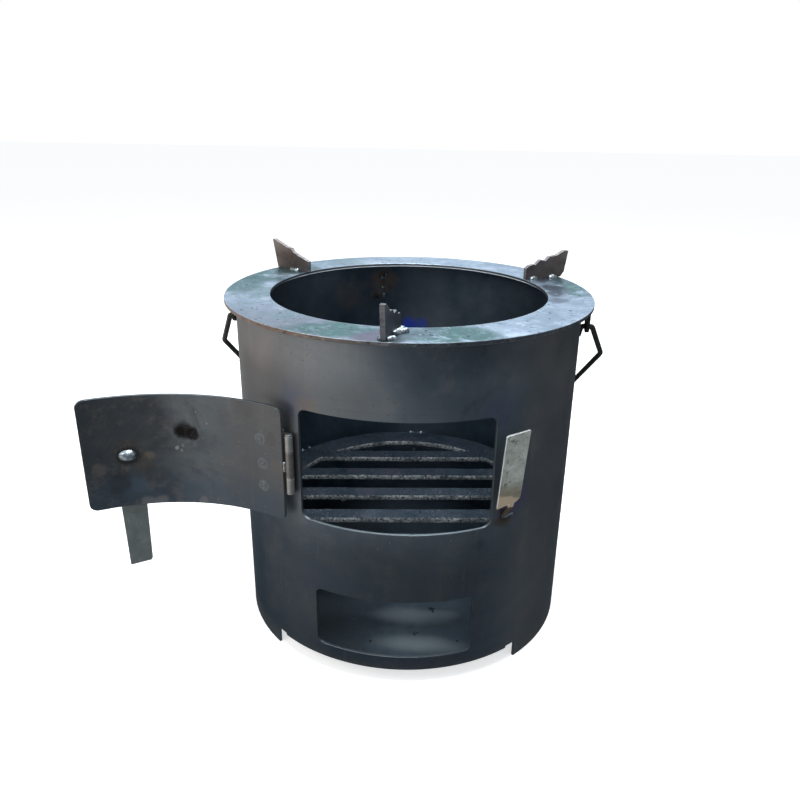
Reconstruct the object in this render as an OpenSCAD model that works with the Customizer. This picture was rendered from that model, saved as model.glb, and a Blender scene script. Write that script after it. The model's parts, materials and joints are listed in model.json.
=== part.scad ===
// Portable wood-burning stove in sheet steel.
// Cylinder with a hinged fire door, grate, ash opening, top ring,
// three serrated pot supports, latch and wire bail.
// Origin: centre of the base circle on the ground. Front is -Y, right is +X, up is +Z.
// Azimuths (_deg) run from the front, positive to the right.
// Suffixes: _r radius, _t thickness, _w width, _h height, _z0 and _z1 lower and upper end.

/* [Shell] */
// outer radius of the rolled shell
shell_r = 190; // [150:1:230]
// sheet thickness of the shell
shell_t = 3; // [2:0.5:5]
// height of the shell, ground to the underside of the ring
shell_h = 378; // [320:1:440]
// half angle of the raised front foot edge
foot_half_deg = 44.3; // [30:0.1:60]
// height of the raised front foot edge
foot_h = 17.5; // [8:0.5:30]
// width of the gap left in the rolled seam
seam_gap = 0.8; // [0.4:0.1:2]
// azimuth of the seam
seam_deg = 193.8; // [170:0.1:200]

/* [Fire opening] */
// half angle of the fire opening
fire_half_deg = 30.1; // [24:0.1:36]
// lower edge of the fire opening
fire_z0 = 182.5; // [160:0.5:200]
// upper edge of the fire opening
fire_z1 = 301.5; // [280:0.5:320]
// corner radius of the fire opening
fire_corner_r = 8; // [3:0.5:15]

/* [Ash opening] */
// half angle of the ash opening
ash_half_deg = 25.5; // [20:0.1:32]
// lower edge of the ash opening
ash_z0 = 34.3; // [28:0.1:45]
// upper edge of the ash opening
ash_z1 = 102.8; // [85:0.1:120]
// corner radius of the ash opening
ash_corner_r = 6.5; // [2:0.5:12]

/* [Top ring] */
// outer radius of the ring
ring_outer_r = 202; // [195:1:215]
// inner radius of the ring
ring_inner_r = 153; // [130:1:170]
// thickness of the ring
ring_t = 4; // [3:0.5:6]
// number of stitch welds under the ring
stitch_count = 10; // [6:1:16]

/* [Pot supports] */
// plate thickness of a pot support
support_t = 5; // [3:0.5:8]
// azimuth of the rear left pot support
support_left_deg = -122.3; // [-140:0.1:-100]
// azimuth of the rear right pot support
support_right_deg = 118.9; // [100:0.1:140]
// turn of the front pot support about the vertical
support_front_turn = 13; // [0:0.5:20]

/* [Grate and floor] */
// outer radius of the grate
grate_outer_r = 176; // [150:1:184]
// inner radius of the grate rim
grate_inner_r = 144; // [120:1:165]
// upper face of the grate
grate_z1 = 130; // [110:1:160]
// thickness of the grate
grate_t = 6; // [4:0.5:10]
// turn of the grate bars from straight across
grate_turn = 5.2; // [-15:0.1:15]
// width of a grate bar
bar_w = 20; // [12:0.5:30]
// pitch of the grate bars
bar_pitch = 53.3; // [40:0.1:70]
// place of the middle bar, negative towards the front
bar_offset = -5; // [-15:0.5:15]
// upper face of the ash floor
floor_z1 = 21; // [18:0.5:30]
// thickness of the ash floor
floor_t = 3; // [2:0.5:4]

/* [Fire door] */
// door opening angle shown (0 closed)
door_open = 180; // [0:1:185]
// hinge axis azimuth
hinge_deg = -32.6; // [-40:0.1:-28]
// hinge axis radius from the stove axis
hinge_r = 195.5; // [193:0.1:200]
// hinge barrel radius
barrel_r = 4.1; // [3.5:0.1:6]
// hinge pin radius
pin_r = 2; // [1.5:0.1:3]
// running clearance round pins
clearance = 0.08; // [0.02:0.01:0.1]
// lower end of the hinge barrel
hinge_z0 = 209.5; // [195:1:220]
// upper end of the hinge barrel
hinge_z1 = 272.5; // [260:1:290]
// lower and upper end of the middle knuckle
knuckle_z = [227, 256]; // [210:0.1:265]
// inner radius of the door plate
door_inner_r = 190.6; // [190.2:0.1:192]
// thickness of the door plate
door_t = 3; // [2:0.5:4]
// azimuth of the door edge on the hinge side
door_hinge_edge_deg = -31.15; // [-31.5:0.05:-30]
// azimuth of the door edge on the latch side
door_latch_edge_deg = 33; // [31:0.1:35]
// lower edge of the door
door_z0 = 178; // [170:0.5:182]
// upper edge of the door
door_z1 = 301; // [295:0.5:310]
// corner radius of the door
door_corner_r = 8; // [3:0.5:15]

/* [Latch] */
// azimuth of the latch rivet on the closed door
rivet_deg = 20.2; // [10:0.1:26]
// height of the latch rivet
rivet_z = 236; // [220:1:250]
// rivet shank radius
rivet_r = 3; // [2:0.1:4]
// length of the latch bar below the rivet
latch_len = 132; // [100:1:150]
// width of the latch bar at the rivet
latch_top_w = 28.5; // [20:0.5:34]
// width of the latch bar at its end
latch_end_w = 23.5; // [16:0.5:30]
// thickness of the latch bar
latch_t = 2; // [1.5:0.1:3]

/* [Keeper] */
// azimuth of the foot of the keeper strip
keeper_deg = 33.1; // [30:0.1:38]
// radius at the foot of the keeper strip
keeper_r = 203; // [198:0.5:208]
// height of the foot of the keeper strip
keeper_z = 210.8; // [200:0.1:220]
// direction the keeper faces
keeper_face_deg = 25; // [20:0.5:36]
// outward lean of the keeper strip
keeper_lean = 10; // [0:0.5:15]
// roll of the keeper strip
keeper_roll = 2; // [-5:0.5:5]
// width of the keeper strip
keeper_w = 24.5; // [20:0.5:32]
// length of the keeper strip above its foot
keeper_len = 87; // [70:1:100]
// thickness of the keeper strip
keeper_t = 1.8; // [1.5:0.1:3]

/* [Bail] */
// rod radius of the bail
rod_r = 3; // [2:0.5:5]
// height of the bail pivots
bail_z = 347; // [330:1:365]
// bail angle below the horizontal at the back
bail_down = 50; // [0:1:60]
// half width at the shoulders
bail_shoulder_x = 226; // [210:1:240]
// distance of the shoulders from the pivots
bail_shoulder_len = 54; // [40:1:80]
// half width at the grip
bail_grip_x = 150; // [100:1:180]
// distance of the grip from the pivots
bail_len = 302; // [260:1:340]

/* [Hidden] */
$fn = 96;
round_fn = 180; // for the large circles

shell_inner_r = shell_r - shell_t;
ring_z1 = shell_h + ring_t;
grate_z0 = grate_z1 - grate_t;
door_outer_r = door_inner_r + door_t;
hinge_x = hinge_r*sin(hinge_deg);
hinge_y = -hinge_r*cos(hinge_deg);
hinge_h = hinge_z1 - hinge_z0;

steel_color = [0.22, 0.25, 0.29];
ring_color = [0.66, 0.75, 0.80];
weld_color = [0.72, 0.74, 0.76];
zinc_color = [0.52, 0.54, 0.52];
support_color = [0.30, 0.27, 0.26];
grate_color = [0.20, 0.25, 0.30];
rod_color = [0.10, 0.11, 0.11];
body_leaf_color = [0.42, 0.43, 0.42];
door_leaf_color = [0.42, 0.41, 0.40];
pin_color = [0.5, 0.52, 0.54];
plug_color = [0.36, 0.42, 0.46];
rivet_color = [0.75, 0.80, 0.84];
latch_color = [0.33, 0.36, 0.36];

/* ---- helpers ---- */
// rectangle from (x0, y0) to (x1, y1) with round corners
module rounded_rect(x0, y0, x1, y1, r) {
  translate([x0 + r, y0]) square([x1 - x0 - 2*r, y1 - y0]);
  translate([x0, y0 + r]) square([x1 - x0, y1 - y0 - 2*r]);
  for (x = [x0 + r, x1 - r], y = [y0 + r, y1 - r])
    translate([x, y]) circle(r, $fn = 32);
}

// extrudes a drawing in X and Z through the front wall, along -Y
module front_cut() {
  translate([0, -60, 0]) rotate([90, 0, 0]) linear_extrude(170) children();
}

// places children at an azimuth, with local -Y pointing outward
module at_azimuth(azimuth) {
  rotate([0, 0, azimuth]) children();
}

// turns the door group about the hinge from closed to the shown angle
module door_pose() {
  translate([hinge_x, hinge_y, 0]) rotate([0, 0, -door_open])
    translate([-hinge_x, -hinge_y, 0]) children();
}

// tube sector between two radii, azimuths and heights
module sector(r0, r1, deg0, deg1, z0, z1) {
  rotate([0, 0, deg0 - 90]) rotate_extrude(angle = deg1 - deg0, $fn = round_fn)
    translate([r0, z0]) square([r1 - r0, z1 - z0]);
}

// flat ring standing on z = 0
module flat_ring(outer_r, inner_r, thickness) {
  difference() {
    cylinder(r = outer_r, h = thickness, $fn = round_fn);
    translate([0, 0, -1]) cylinder(r = inner_r, h = thickness + 2, $fn = round_fn);
  }
}

// round weld tack
module tack(place, r) {
  translate(place) sphere(r, $fn = 24);
}

// straight round weld bead between two points
module bead(start, end, r) {
  run = end - start;
  length = norm(run);
  translate(start) rotate([0, acos(run[2]/length), atan2(run[1], run[0])]) {
    cylinder(r = r, h = length, $fn = 24);
    sphere(r, $fn = 24);
    translate([0, 0, length]) sphere(r, $fn = 24);
  }
}

/* ---- shell ---- */
foot_notch = [14, 12, 3.5]; // cut at each end of the raised foot edge
foot_notch_deg = foot_half_deg - 2.2;

module wall_opening(half_deg, z0, z1, r) {
  half_w = shell_r*sin(half_deg);
  front_cut() rounded_rect(-half_w, z0, half_w, z1, r);
}

module body_shell() color(steel_color) difference() {
  cylinder(r = shell_r, h = shell_h, $fn = round_fn);
  translate([0, 0, -1]) cylinder(r = shell_inner_r, h = shell_h + 2, $fn = round_fn);
  wall_opening(fire_half_deg, fire_z0, fire_z1, fire_corner_r);
  wall_opening(ash_half_deg, ash_z0, ash_z1, ash_corner_r);
  // raised front foot edge, a little higher at its ends
  sector(shell_inner_r - 4, shell_r + 4, -foot_half_deg, foot_half_deg, -2, foot_h);
  for (side = [-1, 1])
    at_azimuth(side*foot_notch_deg)
      translate([-foot_notch[0]/2, -shell_r - 4, foot_h - 1]) cube(foot_notch);
  // open joint of the rolled sheet
  at_azimuth(seam_deg) translate([-seam_gap/2, -shell_r - 2, -1])
    cube([seam_gap, 8, shell_h + 2]);
}

seam_tack_z0 = 24;
seam_tack_pitch = 46;
// [across, height] of the drips inside the shell
seam_drips = [[-3, 361], [2.5, 357], [1, 343], [-1, 333]];

module seam_tacks() color(weld_color) at_azimuth(seam_deg) {
  for (k = [0 : 7])
    translate([0, -shell_r + 0.2, seam_tack_z0 + k*seam_tack_pitch])
      bead([0, 0, 0], [0.6, 0, 13], 1.9);
  for (drip = seam_drips)
    tack([drip[0], -shell_inner_r + 0.4, drip[1]], 2.7);
}

/* ---- top ring ---- */
stitch_first_deg = 18;
stitch_half_len = 12;

module top_ring() color(ring_color) translate([0, 0, shell_h])
  flat_ring(ring_outer_r, ring_inner_r, ring_t);

module ring_stitch_welds() color(weld_color) {
  y = -shell_inner_r + 1;
  z = shell_h - 0.8;
  for (k = [0 : stitch_count - 1])
    at_azimuth(stitch_first_deg + k*360/stitch_count)
      bead([-stitch_half_len, y, z], [stitch_half_len, y, z], 2.3);
}

/* ---- pot supports ---- */
// Serrated outlines: [outward, up from the ring].
// The rear ones are measured from the stove axis, the front one from its own place.
right_tip = [213, 32];
right_outline = [
  for (p = [[0, 0], [0, 13.5], [4.5, 16.8], [10.5, 18], [13, 17.2], [20, 23.2],
      [27, 21.2], [32.5, 25.8], [43, 26.8]]) [ring_inner_r + p[0], p[1]],
  [right_tip[0] - 6, right_tip[1]], [right_tip[0], right_tip[1] - 0.6],
  [right_tip[0] - 4, 6.5], [right_tip[0] - 9, 0]];
left_outline = [
  [150, 0], [150, 13], [156, 15.3], [166.5, 18.8], [171, 20.3], [176, 23],
  [178.8, 26.2], [186, 27.4], [196, 31], [207, 35], [209.8, 34.6], [202.3, 0]];
front_outline = [
  [-46, 0], [-46, 13], [-42, 16], [-38, 15.4], [-31, 21], [-25, 19.4], [-18.5, 24.6],
  [-13, 23.8], [-5, 31.5], [-1.5, 33.6], [3, 33.2], [1.6, 6], [0, 0]];
front_support_place = [-10.6, -199, 0];

module front_support_pose() {
  translate(front_support_place) rotate([0, 0, -support_front_turn]) children();
}

// upright plate on the ring, outline running along local -Y
module support_plate(outline) {
  translate([support_t/2, 0, ring_z1]) rotate([90, 0, -90])
    linear_extrude(support_t) polygon(outline);
}

module pot_support_front() color(support_color)
  front_support_pose() support_plate(front_outline);

module pot_support_rear_left() color(support_color)
  at_azimuth(support_left_deg) support_plate(left_outline);

module pot_support_rear_right() color(support_color)
  at_azimuth(support_right_deg) support_plate(right_outline);

// weld beads beside each plate:
// [side, distance from the plate face at start and end, y at start and end, radius]
right_welds = [
  [1, 0.8, 0.8, -163, -170, 2.6], [1, 0.8, 0.8, -186, -195, 2.8],
  [-1, 1.2, 1.2, -162, -166, 3.4], [-1, 1.2, 1.2, -189, -193.5, 3.6]];
left_welds = [[1, 0.8, 0.8, -168, -178, 2.6], [-1, 1, 1, -171, -179, 3.5]];
front_welds = [
  [1, 1.2, 4, 24, 37, 3.8], [1, 5, 8, 31, 36, 3],
  [-1, 1.4, 3, 4, 10, 2.8], [1, 1.2, 4, 5, 10, 2.8]];

// beads lying on the ring, filling the corner with a plate
module support_beads(welds) {
  for (w = welds) {
    z = ring_z1 + w[5]*0.2;
    bead([w[0]*(support_t/2 + w[1]), w[3], z], [w[0]*(support_t/2 + w[2]), w[4], z], w[5]);
  }
}

module pot_support_welds() color(weld_color) {
  at_azimuth(support_right_deg) support_beads(right_welds);
  at_azimuth(support_left_deg) support_beads(left_welds);
  front_support_pose() support_beads(front_welds);
}

/* ---- floor ---- */
floor_gap = 0.4;
floor_tack_count = 8;
floor_tack_first_deg = 33;

module floor_plate() color(steel_color) translate([0, 0, floor_z1 - floor_t])
  cylinder(r = shell_inner_r - floor_gap, h = floor_t, $fn = round_fn);

module floor_tacks() color(weld_color)
  for (k = [0 : floor_tack_count - 1])
    at_azimuth(floor_tack_first_deg + k*360/floor_tack_count)
      tack([0, -shell_inner_r + 0.5, floor_z1 + 0.4], 2.6);

/* ---- grate ---- */
bar_end_r = grate_inner_r + 6; // outer corners of the bars, inside the rim
tab_size = [24, 24, 4];
tab_gap = 0.05;
tab_azimuths = [-62, 62, 128, -128, 178.4];
rim_tack_azimuths = [181.1, 176.2];
wall_drip_deg = 179.4;
wall_drips = [[0.3, 98], [-1.2, 78]]; // [across, height]

// rim with five bars running left to right
module grate_plan() {
  difference() {
    circle(grate_outer_r, $fn = round_fn);
    circle(grate_inner_r, $fn = round_fn);
  }
  for (k = [-2 : 2]) {
    y = bar_offset + k*bar_pitch;
    half_len = sqrt(pow(bar_end_r, 2) - pow(abs(y) + bar_w/2, 2));
    translate([-half_len, y - bar_w/2]) square([2*half_len, bar_w]);
  }
}

module fire_grate() color(grate_color) translate([0, 0, grate_z0])
  rotate([0, 0, grate_turn]) linear_extrude(grate_t) grate_plan();

module grate_tabs() color(steel_color)
  for (azimuth = tab_azimuths)
    at_azimuth(azimuth)
      translate([-tab_size[0]/2, -shell_inner_r + 0.6, grate_z0 - tab_size[2] - tab_gap])
        cube(tab_size);

module grate_tacks() color(weld_color) {
  for (azimuth = tab_azimuths, side = [-1, 1])
    at_azimuth(azimuth) tack([side*6, -shell_inner_r + 1, grate_z0 + 0.6], 2.3);
  // on the rim at the back
  for (azimuth = rim_tack_azimuths)
    at_azimuth(azimuth) tack([0, -grate_outer_r + 0.6, grate_z1 + 0.2], 2.4);
  // run-down weld metal on the wall under them
  for (drip = wall_drips)
    at_azimuth(wall_drip_deg) tack([drip[0], -shell_inner_r + 0.4, drip[1]], 2.9);
}

/* ---- hinge, body side ---- */
leaf_t = 2.1;
body_leaf_w = 28;
body_leaf_deg = hinge_deg - 5.8; // middle of the leaf
body_web = [8.2, 1.3];           // [length, thickness]
web_inset = 0.2;                 // web ends inside the knuckle ends
knuckle_gap = 0.3;
pin_head_r = 3.2;
pin_head_h = 1.5;

module knuckle(z0, z1) {
  translate([hinge_x, hinge_y, z0]) cylinder(r = barrel_r, h = z1 - z0, $fn = 48);
}

module pin_bore() {
  translate([hinge_x, hinge_y, hinge_z0 - 5])
    cylinder(r = pin_r + clearance, h = hinge_h + 10, $fn = 48);
}

module hinge_body_leaf() color(body_leaf_color) difference() {
  union() {
    // flat plate touching the shell
    at_azimuth(body_leaf_deg) translate([-body_leaf_w/2, -shell_r - leaf_t, hinge_z0])
      cube([body_leaf_w, leaf_t + 0.1, hinge_h]);
    for (z = [[hinge_z0, knuckle_z[0] - knuckle_gap], [knuckle_z[1] + knuckle_gap, hinge_z1]]) {
      knuckle(z[0], z[1]);
      // web from the knuckle to the leaf
      at_azimuth(body_leaf_deg) translate([12, -shell_r - 1.9, z[0] + web_inset])
        cube([body_web[0], body_web[1], z[1] - z[0] - 2*web_inset]);
    }
  }
  pin_bore();
}

module hinge_pin() color(pin_color) {
  translate([hinge_x, hinge_y, hinge_z0 - 1]) cylinder(r = pin_r, h = hinge_h + 1.5, $fn = 48);
  translate([hinge_x, hinge_y, hinge_z1 + 0.1])
    cylinder(r = pin_head_r, h = pin_head_h, $fn = 48);
}

module hinge_leaf_welds() color(weld_color) {
  // along the lower and upper edges of the leaf
  for (z = [hinge_z0 - 0.6, hinge_z1 + 0.6])
    at_azimuth(hinge_deg - 6.6) bead([-9, -shell_r - 0.2, z], [9, -shell_r - 0.2, z], 1.9);
  // upright bead
  at_azimuth(hinge_deg - 10.6)
    bead([0, -shell_r - 0.4, hinge_z0 + 8], [0, -shell_r - 0.4, hinge_z1 - 8], 1.9);
}

/* ---- keeper ---- */
keeper_low = 3.7;      // flat part below the foot height
keeper_leg_deg = 26.3; // slope of the leg in towards the shell
keeper_leg_len = 22.3;
leg_end = [keeper_leg_len*sin(keeper_leg_deg), -keeper_low - keeper_leg_len*cos(keeper_leg_deg)];
// side profile of the bent strip: [inward, up]
keeper_profile = [
  [0, keeper_len], [0, -keeper_low], leg_end,
  leg_end + keeper_t*[cos(keeper_leg_deg), sin(keeper_leg_deg)],
  [keeper_t, -keeper_low + keeper_t*tan(keeper_leg_deg/2)], [keeper_t, keeper_len]];
// areas cut off the strip, seen from outside: [across, up]
keeper_cuts = [
  // lower right, leaving a narrow tongue on the leg
  [[keeper_w/2 + 0.8, 7.9], [keeper_w/2 + 20, 7.9], [keeper_w/2 + 20, -60],
    [6, -60], [6, 1.6], [7.8, 2.1]],
  // lower left
  [[-keeper_w/2 - 20, -7.9], [-0.2, 0.1], [-0.2, -60], [-keeper_w/2 - 20, -60]],
  // top end, a little aslant
  [[-keeper_w/2 - 5, keeper_len - 4.5], [keeper_w/2 + 5, keeper_len - 0.4],
    [keeper_w/2 + 5, keeper_len + 20], [-keeper_w/2 - 5, keeper_len + 20]]];

// local frame of the strip: x across, y inward, z up along the strip
module keeper_pose() {
  translate([keeper_r*sin(keeper_deg), -keeper_r*cos(keeper_deg), keeper_z])
    rotate([0, 0, keeper_face_deg]) rotate([keeper_lean, 0, 0])
      rotate([0, -keeper_roll, 0]) children();
}

module latch_keeper() color(zinc_color) keeper_pose() difference() {
  translate([-keeper_w/2, 0, 0]) rotate([90, 0, 90])
    linear_extrude(keeper_w) polygon(keeper_profile);
  for (area = keeper_cuts)
    translate([0, 40, 0]) rotate([90, 0, 0]) linear_extrude(80) polygon(area);
}

module keeper_weld() color(weld_color) at_azimuth(35.9)
  bead([-4.6, -shell_r - 0.4, 189.2], [5.4, -shell_r - 0.4, 189.9], 2.3);

/* ---- bail lugs ---- */
lug_t = 4;
lug_r = 7;
lug_inner_x = ring_outer_r - lug_t; // outer face flush with the ring
lug_mid_x = lug_inner_x + lug_t/2;
lug_bore_len = 14;

// side is -1 for left, 1 for right
module bail_lug(side) {
  x = side*lug_mid_x;
  difference() {
    union() {
      translate([x - lug_t/2, -lug_r, bail_z]) cube([lug_t, 2*lug_r, shell_h - bail_z]);
      translate([x - lug_t/2, 0, bail_z]) rotate([0, 90, 0])
        cylinder(r = lug_r, h = lug_t, $fn = 64);
    }
    translate([x - lug_bore_len/2, 0, bail_z]) rotate([0, 90, 0])
      cylinder(r = rod_r + clearance, h = lug_bore_len, $fn = 64);
  }
}

module bail_lug_left() color(rod_color) bail_lug(-1);

module bail_lug_right() color(rod_color) bail_lug(1);

module bail_lug_welds() color(weld_color)
  for (side = [-1, 1]) {
    x = side*(lug_inner_x - 0.4);
    bead([x, -6, shell_h - 0.5], [x, 6, shell_h - 0.5], 2);
  }

/* ---- door group, drawn closed ---- */
door_leaf_w = 37;
door_leaf_deg = hinge_deg + 7.2; // middle of the leaf
door_web = [4.9, 1.6];           // [length, thickness]
plug_welds = [[-22.6, 262], [-23.1, 236], [-23.1, 211.5]]; // [azimuth, height]

module door_plate() color(steel_color) door_pose() difference() {
  intersection() {
    sector(door_inner_r, door_outer_r, -60, 60, door_z0 - 1, door_z1 + 1);
    front_cut() rounded_rect(door_outer_r*sin(door_hinge_edge_deg), door_z0,
      door_outer_r*sin(door_latch_edge_deg), door_z1, door_corner_r);
  }
  at_azimuth(rivet_deg) translate([0, -230, rivet_z]) rotate([-90, 0, 0])
    cylinder(r = rivet_r, h = 60, $fn = 48);
}

module hinge_door_leaf() color(door_leaf_color) door_pose() difference() {
  union() {
    knuckle(knuckle_z[0], knuckle_z[1]);
    // web from the knuckle to the leaf
    at_azimuth(door_leaf_deg) translate([-22.2, -door_outer_r - 1.7, knuckle_z[0] + web_inset])
      cube([door_web[0], door_web[1], knuckle_z[1] - knuckle_z[0] - 2*web_inset]);
    at_azimuth(door_leaf_deg)
      translate([-door_leaf_w/2, -door_outer_r - leaf_t + 0.1, hinge_z0 - 1])
        cube([door_leaf_w, leaf_t, hinge_h - 2]);
  }
  pin_bore();
}

// stepped discs on the inner face of the door
module door_plug_welds() color(plug_color) door_pose()
  for (plug = plug_welds)
    at_azimuth(plug[0]) translate([0, -door_inner_r - 0.6, plug[1]]) rotate([-90, 0, 0]) {
      cylinder(r = 3.4, h = 1, $fn = 32);
      cylinder(r = 2.2, h = 1.3, $fn = 32);
    }

module door_edge_tack() color(weld_color) door_pose() at_azimuth(hinge_deg + 1.25)
  bead([0, -door_inner_r - 1.8, 235], [0, -door_inner_r - 1.8, 243], 1.7);

// rivet head: ball cap of a given height, trimmed to a cylinder
module rivet_head(r, trim_h, dome_h, ball_r) {
  intersection() {
    cylinder(r = r, h = trim_h, $fn = 64);
    translate([0, 0, dome_h - ball_r]) sphere(ball_r, $fn = 64);
  }
}

module latch_rivet() color(rivet_color) door_pose()
  at_azimuth(rivet_deg) translate([0, 0, rivet_z]) {
    // shank
    translate([0, -door_outer_r - 4, 0]) rotate([-90, 0, 0])
      cylinder(r = rivet_r, h = 8, $fn = 48);
    // head on the inner face
    translate([0, -door_inner_r - 0.2, 0]) rotate([-90, 0, 0])
      rivet_head(r = 8.7, trim_h = 6, dome_h = 5.2, ball_r = 10);
    // closing head outside the bar
    translate([0, -door_outer_r - latch_t - 0.3, 0]) rotate([90, 0, 0])
      rivet_head(r = 6.5, trim_h = 4, dome_h = 3, ball_r = 8.5);
  }

// latch bar hanging from the rivet: [across, up from the rivet]
latch_outline = [
  [-latch_top_w/2, 9], [-latch_top_w/2 + 4, 13], [latch_top_w/2 - 4, 13], [latch_top_w/2, 9],
  [latch_end_w/2, -latch_len + 0.8], [latch_end_w/2 - 0.8, -latch_len],
  [-latch_end_w/2 + 1.6, -latch_len + 3], [-latch_end_w/2, -latch_len + 6]];

module latch_bar() color(latch_color) door_pose() at_azimuth(rivet_deg)
  translate([0, -door_outer_r - 0.1, rivet_z]) rotate([90, 0, 0])
    linear_extrude(latch_t) difference() {
      polygon(latch_outline);
      circle(rivet_r + clearance, $fn = 48);
    }

/* ---- bail: one bent rod, drawn flat and dropped to the back ---- */
hook_x = lug_inner_x - rod_r - 1.4;
elbow_x = lug_inner_x + lug_t + rod_r + 0.6;
// right half from the hooked end to the grip: [x, distance from the pivots, bend radius]
bail_half = [
  [hook_x, 17, 0], [hook_x, 0, 3.3], [elbow_x, 0, 4],
  [bail_shoulder_x, bail_shoulder_len, 9], [bail_grip_x, bail_len, 14]];
bail_corners = concat(bail_half,
  [for (i = [4 : -1 : 0]) [-bail_half[i][0], bail_half[i][1], bail_half[i][2]]]);
bail_points = [for (corner = bail_corners) [corner[0], corner[1]]];
bail_bends = [for (corner = bail_corners) corner[2]];
bend_overlap = 0.3; // straights run this far into the bends

function unit(v) = v/norm(v);

// signed turn at corner i, positive to the left
function turn(points, i) =
  let(a = unit(points[i] - points[i-1]), b = unit(points[i+1] - points[i]))
  atan2(a[0]*b[1] - a[1]*b[0], a[0]*b[0] + a[1]*b[1]);

// how far a straight stops short of corner i
function setback(points, bends, i) =
  (i == 0 || i == len(points) - 1) ? 0
    : bends[i]*tan(abs(turn(points, i))/2) - bend_overlap;

module straight_rod(start, end) {
  run = end - start;
  translate([start[0], start[1], 0]) rotate([0, 0, atan2(run[1], run[0])])
    rotate([0, 90, 0]) cylinder(r = rod_r, h = norm(run), $fn = 48);
}

module bent_rod(points, bends) {
  for (i = [0 : len(points) - 2]) {
    along = unit(points[i+1] - points[i]);
    straight_rod(points[i] + along*setback(points, bends, i),
      points[i+1] - along*setback(points, bends, i+1));
  }
  for (i = [1 : len(points) - 2]) {
    along = unit(points[i] - points[i-1]);
    start = points[i] - along*(setback(points, bends, i) + bend_overlap);
    translate([start[0], start[1], 0]) rotate([0, 0, atan2(along[1], along[0])])
      translate([0, bends[i], 0]) rotate([0, 0, -90])
        rotate_extrude(angle = turn(points, i), $fn = 64)
          translate([bends[i], 0]) circle(rod_r + 0.03, $fn = 48);
  }
}

module bail_handle() color(rod_color) translate([0, 0, bail_z])
  rotate([-bail_down, 0, 0]) bent_rod(bail_points, bail_bends);

body_shell();
seam_tacks();
top_ring();
ring_stitch_welds();
pot_support_front();
pot_support_rear_left();
pot_support_rear_right();
pot_support_welds();
floor_plate();
floor_tacks();
fire_grate();
grate_tabs();
grate_tacks();
hinge_body_leaf();
hinge_pin();
hinge_leaf_welds();
latch_keeper();
keeper_weld();
bail_lug_left();
bail_lug_right();
bail_lug_welds();
door_plate();
hinge_door_leaf();
door_plug_welds();
door_edge_tack();
latch_rivet();
latch_bar();
bail_handle();
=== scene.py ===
# A small round stove of rolled sheet steel. It stands on z = 0 with its axis on Z, its front
# towards -Y and its right towards +X. The front has a fire opening above an ash opening; the
# door stands open, turned half a turn about the hinge on the left. A flat ring with three pot
# supports closes the top edge, and a wire bail hangs from two lugs and leans to the back.
# Lengths are in metres. Angles are in degrees: an azimuth counts from the front, + to the right.
import json
import math
from functools import cached_property, partial

import bpy
import bmesh
import numpy as np
from mathutils import Vector, Matrix, noise, kdtree
from mathutils.geometry import delaunay_2d_cdt


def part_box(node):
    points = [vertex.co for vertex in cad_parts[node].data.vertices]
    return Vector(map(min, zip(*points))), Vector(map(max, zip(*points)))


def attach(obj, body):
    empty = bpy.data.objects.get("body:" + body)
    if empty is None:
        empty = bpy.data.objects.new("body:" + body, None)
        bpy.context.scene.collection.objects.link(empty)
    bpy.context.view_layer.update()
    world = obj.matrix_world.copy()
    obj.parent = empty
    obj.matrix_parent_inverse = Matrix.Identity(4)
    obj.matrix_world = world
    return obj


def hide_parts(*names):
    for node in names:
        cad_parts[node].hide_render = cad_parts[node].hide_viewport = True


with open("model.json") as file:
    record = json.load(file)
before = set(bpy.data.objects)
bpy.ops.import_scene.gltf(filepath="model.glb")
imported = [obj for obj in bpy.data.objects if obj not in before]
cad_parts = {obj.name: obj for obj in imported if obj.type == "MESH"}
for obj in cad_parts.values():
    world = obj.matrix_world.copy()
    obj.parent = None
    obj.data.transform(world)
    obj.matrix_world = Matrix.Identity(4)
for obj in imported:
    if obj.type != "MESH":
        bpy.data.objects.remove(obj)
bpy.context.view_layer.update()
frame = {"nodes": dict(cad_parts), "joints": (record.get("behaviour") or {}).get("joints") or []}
JOINT = {joint["name"]: joint for joint in frame["joints"]}

# ---------------------------------------------------------------- driving sizes
MM = 0.001
SHELL_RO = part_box("body_shell")[1].x
SHELL_T = 3 * MM
SHELL_RI = SHELL_RO - SHELL_T
SEAM_AZ = 193.8                             # upright seam where the rolled sheet meets

RING_LO, RING_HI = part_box("top_ring")
RING_Z0, RING_Z1 = RING_LO.z, RING_HI.z
RING_RI = 0.153

SUPPORT_T = 0.005
REAR_RIGHT_AZ, REAR_LEFT_AZ = 118.9, -122.3
FRONT_TURN = -13.0                          # the front support's turn about its outer end
FRONT_X, FRONT_Y = -0.0106, -0.199          # its outer end in plan

PIN_LO, PIN_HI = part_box("hinge_pin")
HINGE_X, HINGE_Y = (PIN_LO.x + PIN_HI.x) / 2, (PIN_LO.y + PIN_HI.y) / 2
LEAF_LO, LEAF_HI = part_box("hinge_body_leaf")
HINGE_AZ = -32.6

DOOR_LO, DOOR_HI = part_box("door_plate")
DOOR_RI, DOOR_T = 0.1906, 0.003
DOOR_RO = DOOR_RI + DOOR_T
RIVET_AZ = 20.2                             # azimuth with the door closed
RIVET_Z = Vector(JOINT["latch_pivot"]["pos_m"]).z
BAIL_Z = JOINT["bail_pivot"]["pos_m"][2]


def rad(degrees):
    return math.radians(degrees)


def az(azimuth, radius, z=0.0):
    """Point at an azimuth, radius and height."""
    return Vector((radius * math.sin(rad(azimuth)), -radius * math.cos(rad(azimuth)), z))


def at_az(azimuth, x, y, z):
    """Local point (x to the right, y inward) turned to an azimuth."""
    c, s = math.cos(rad(azimuth)), math.sin(rad(azimuth))
    return Vector((x * c - y * s, x * s + y * c, z))


def outward(azimuth):
    return at_az(azimuth, 0, -1, 0)


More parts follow.
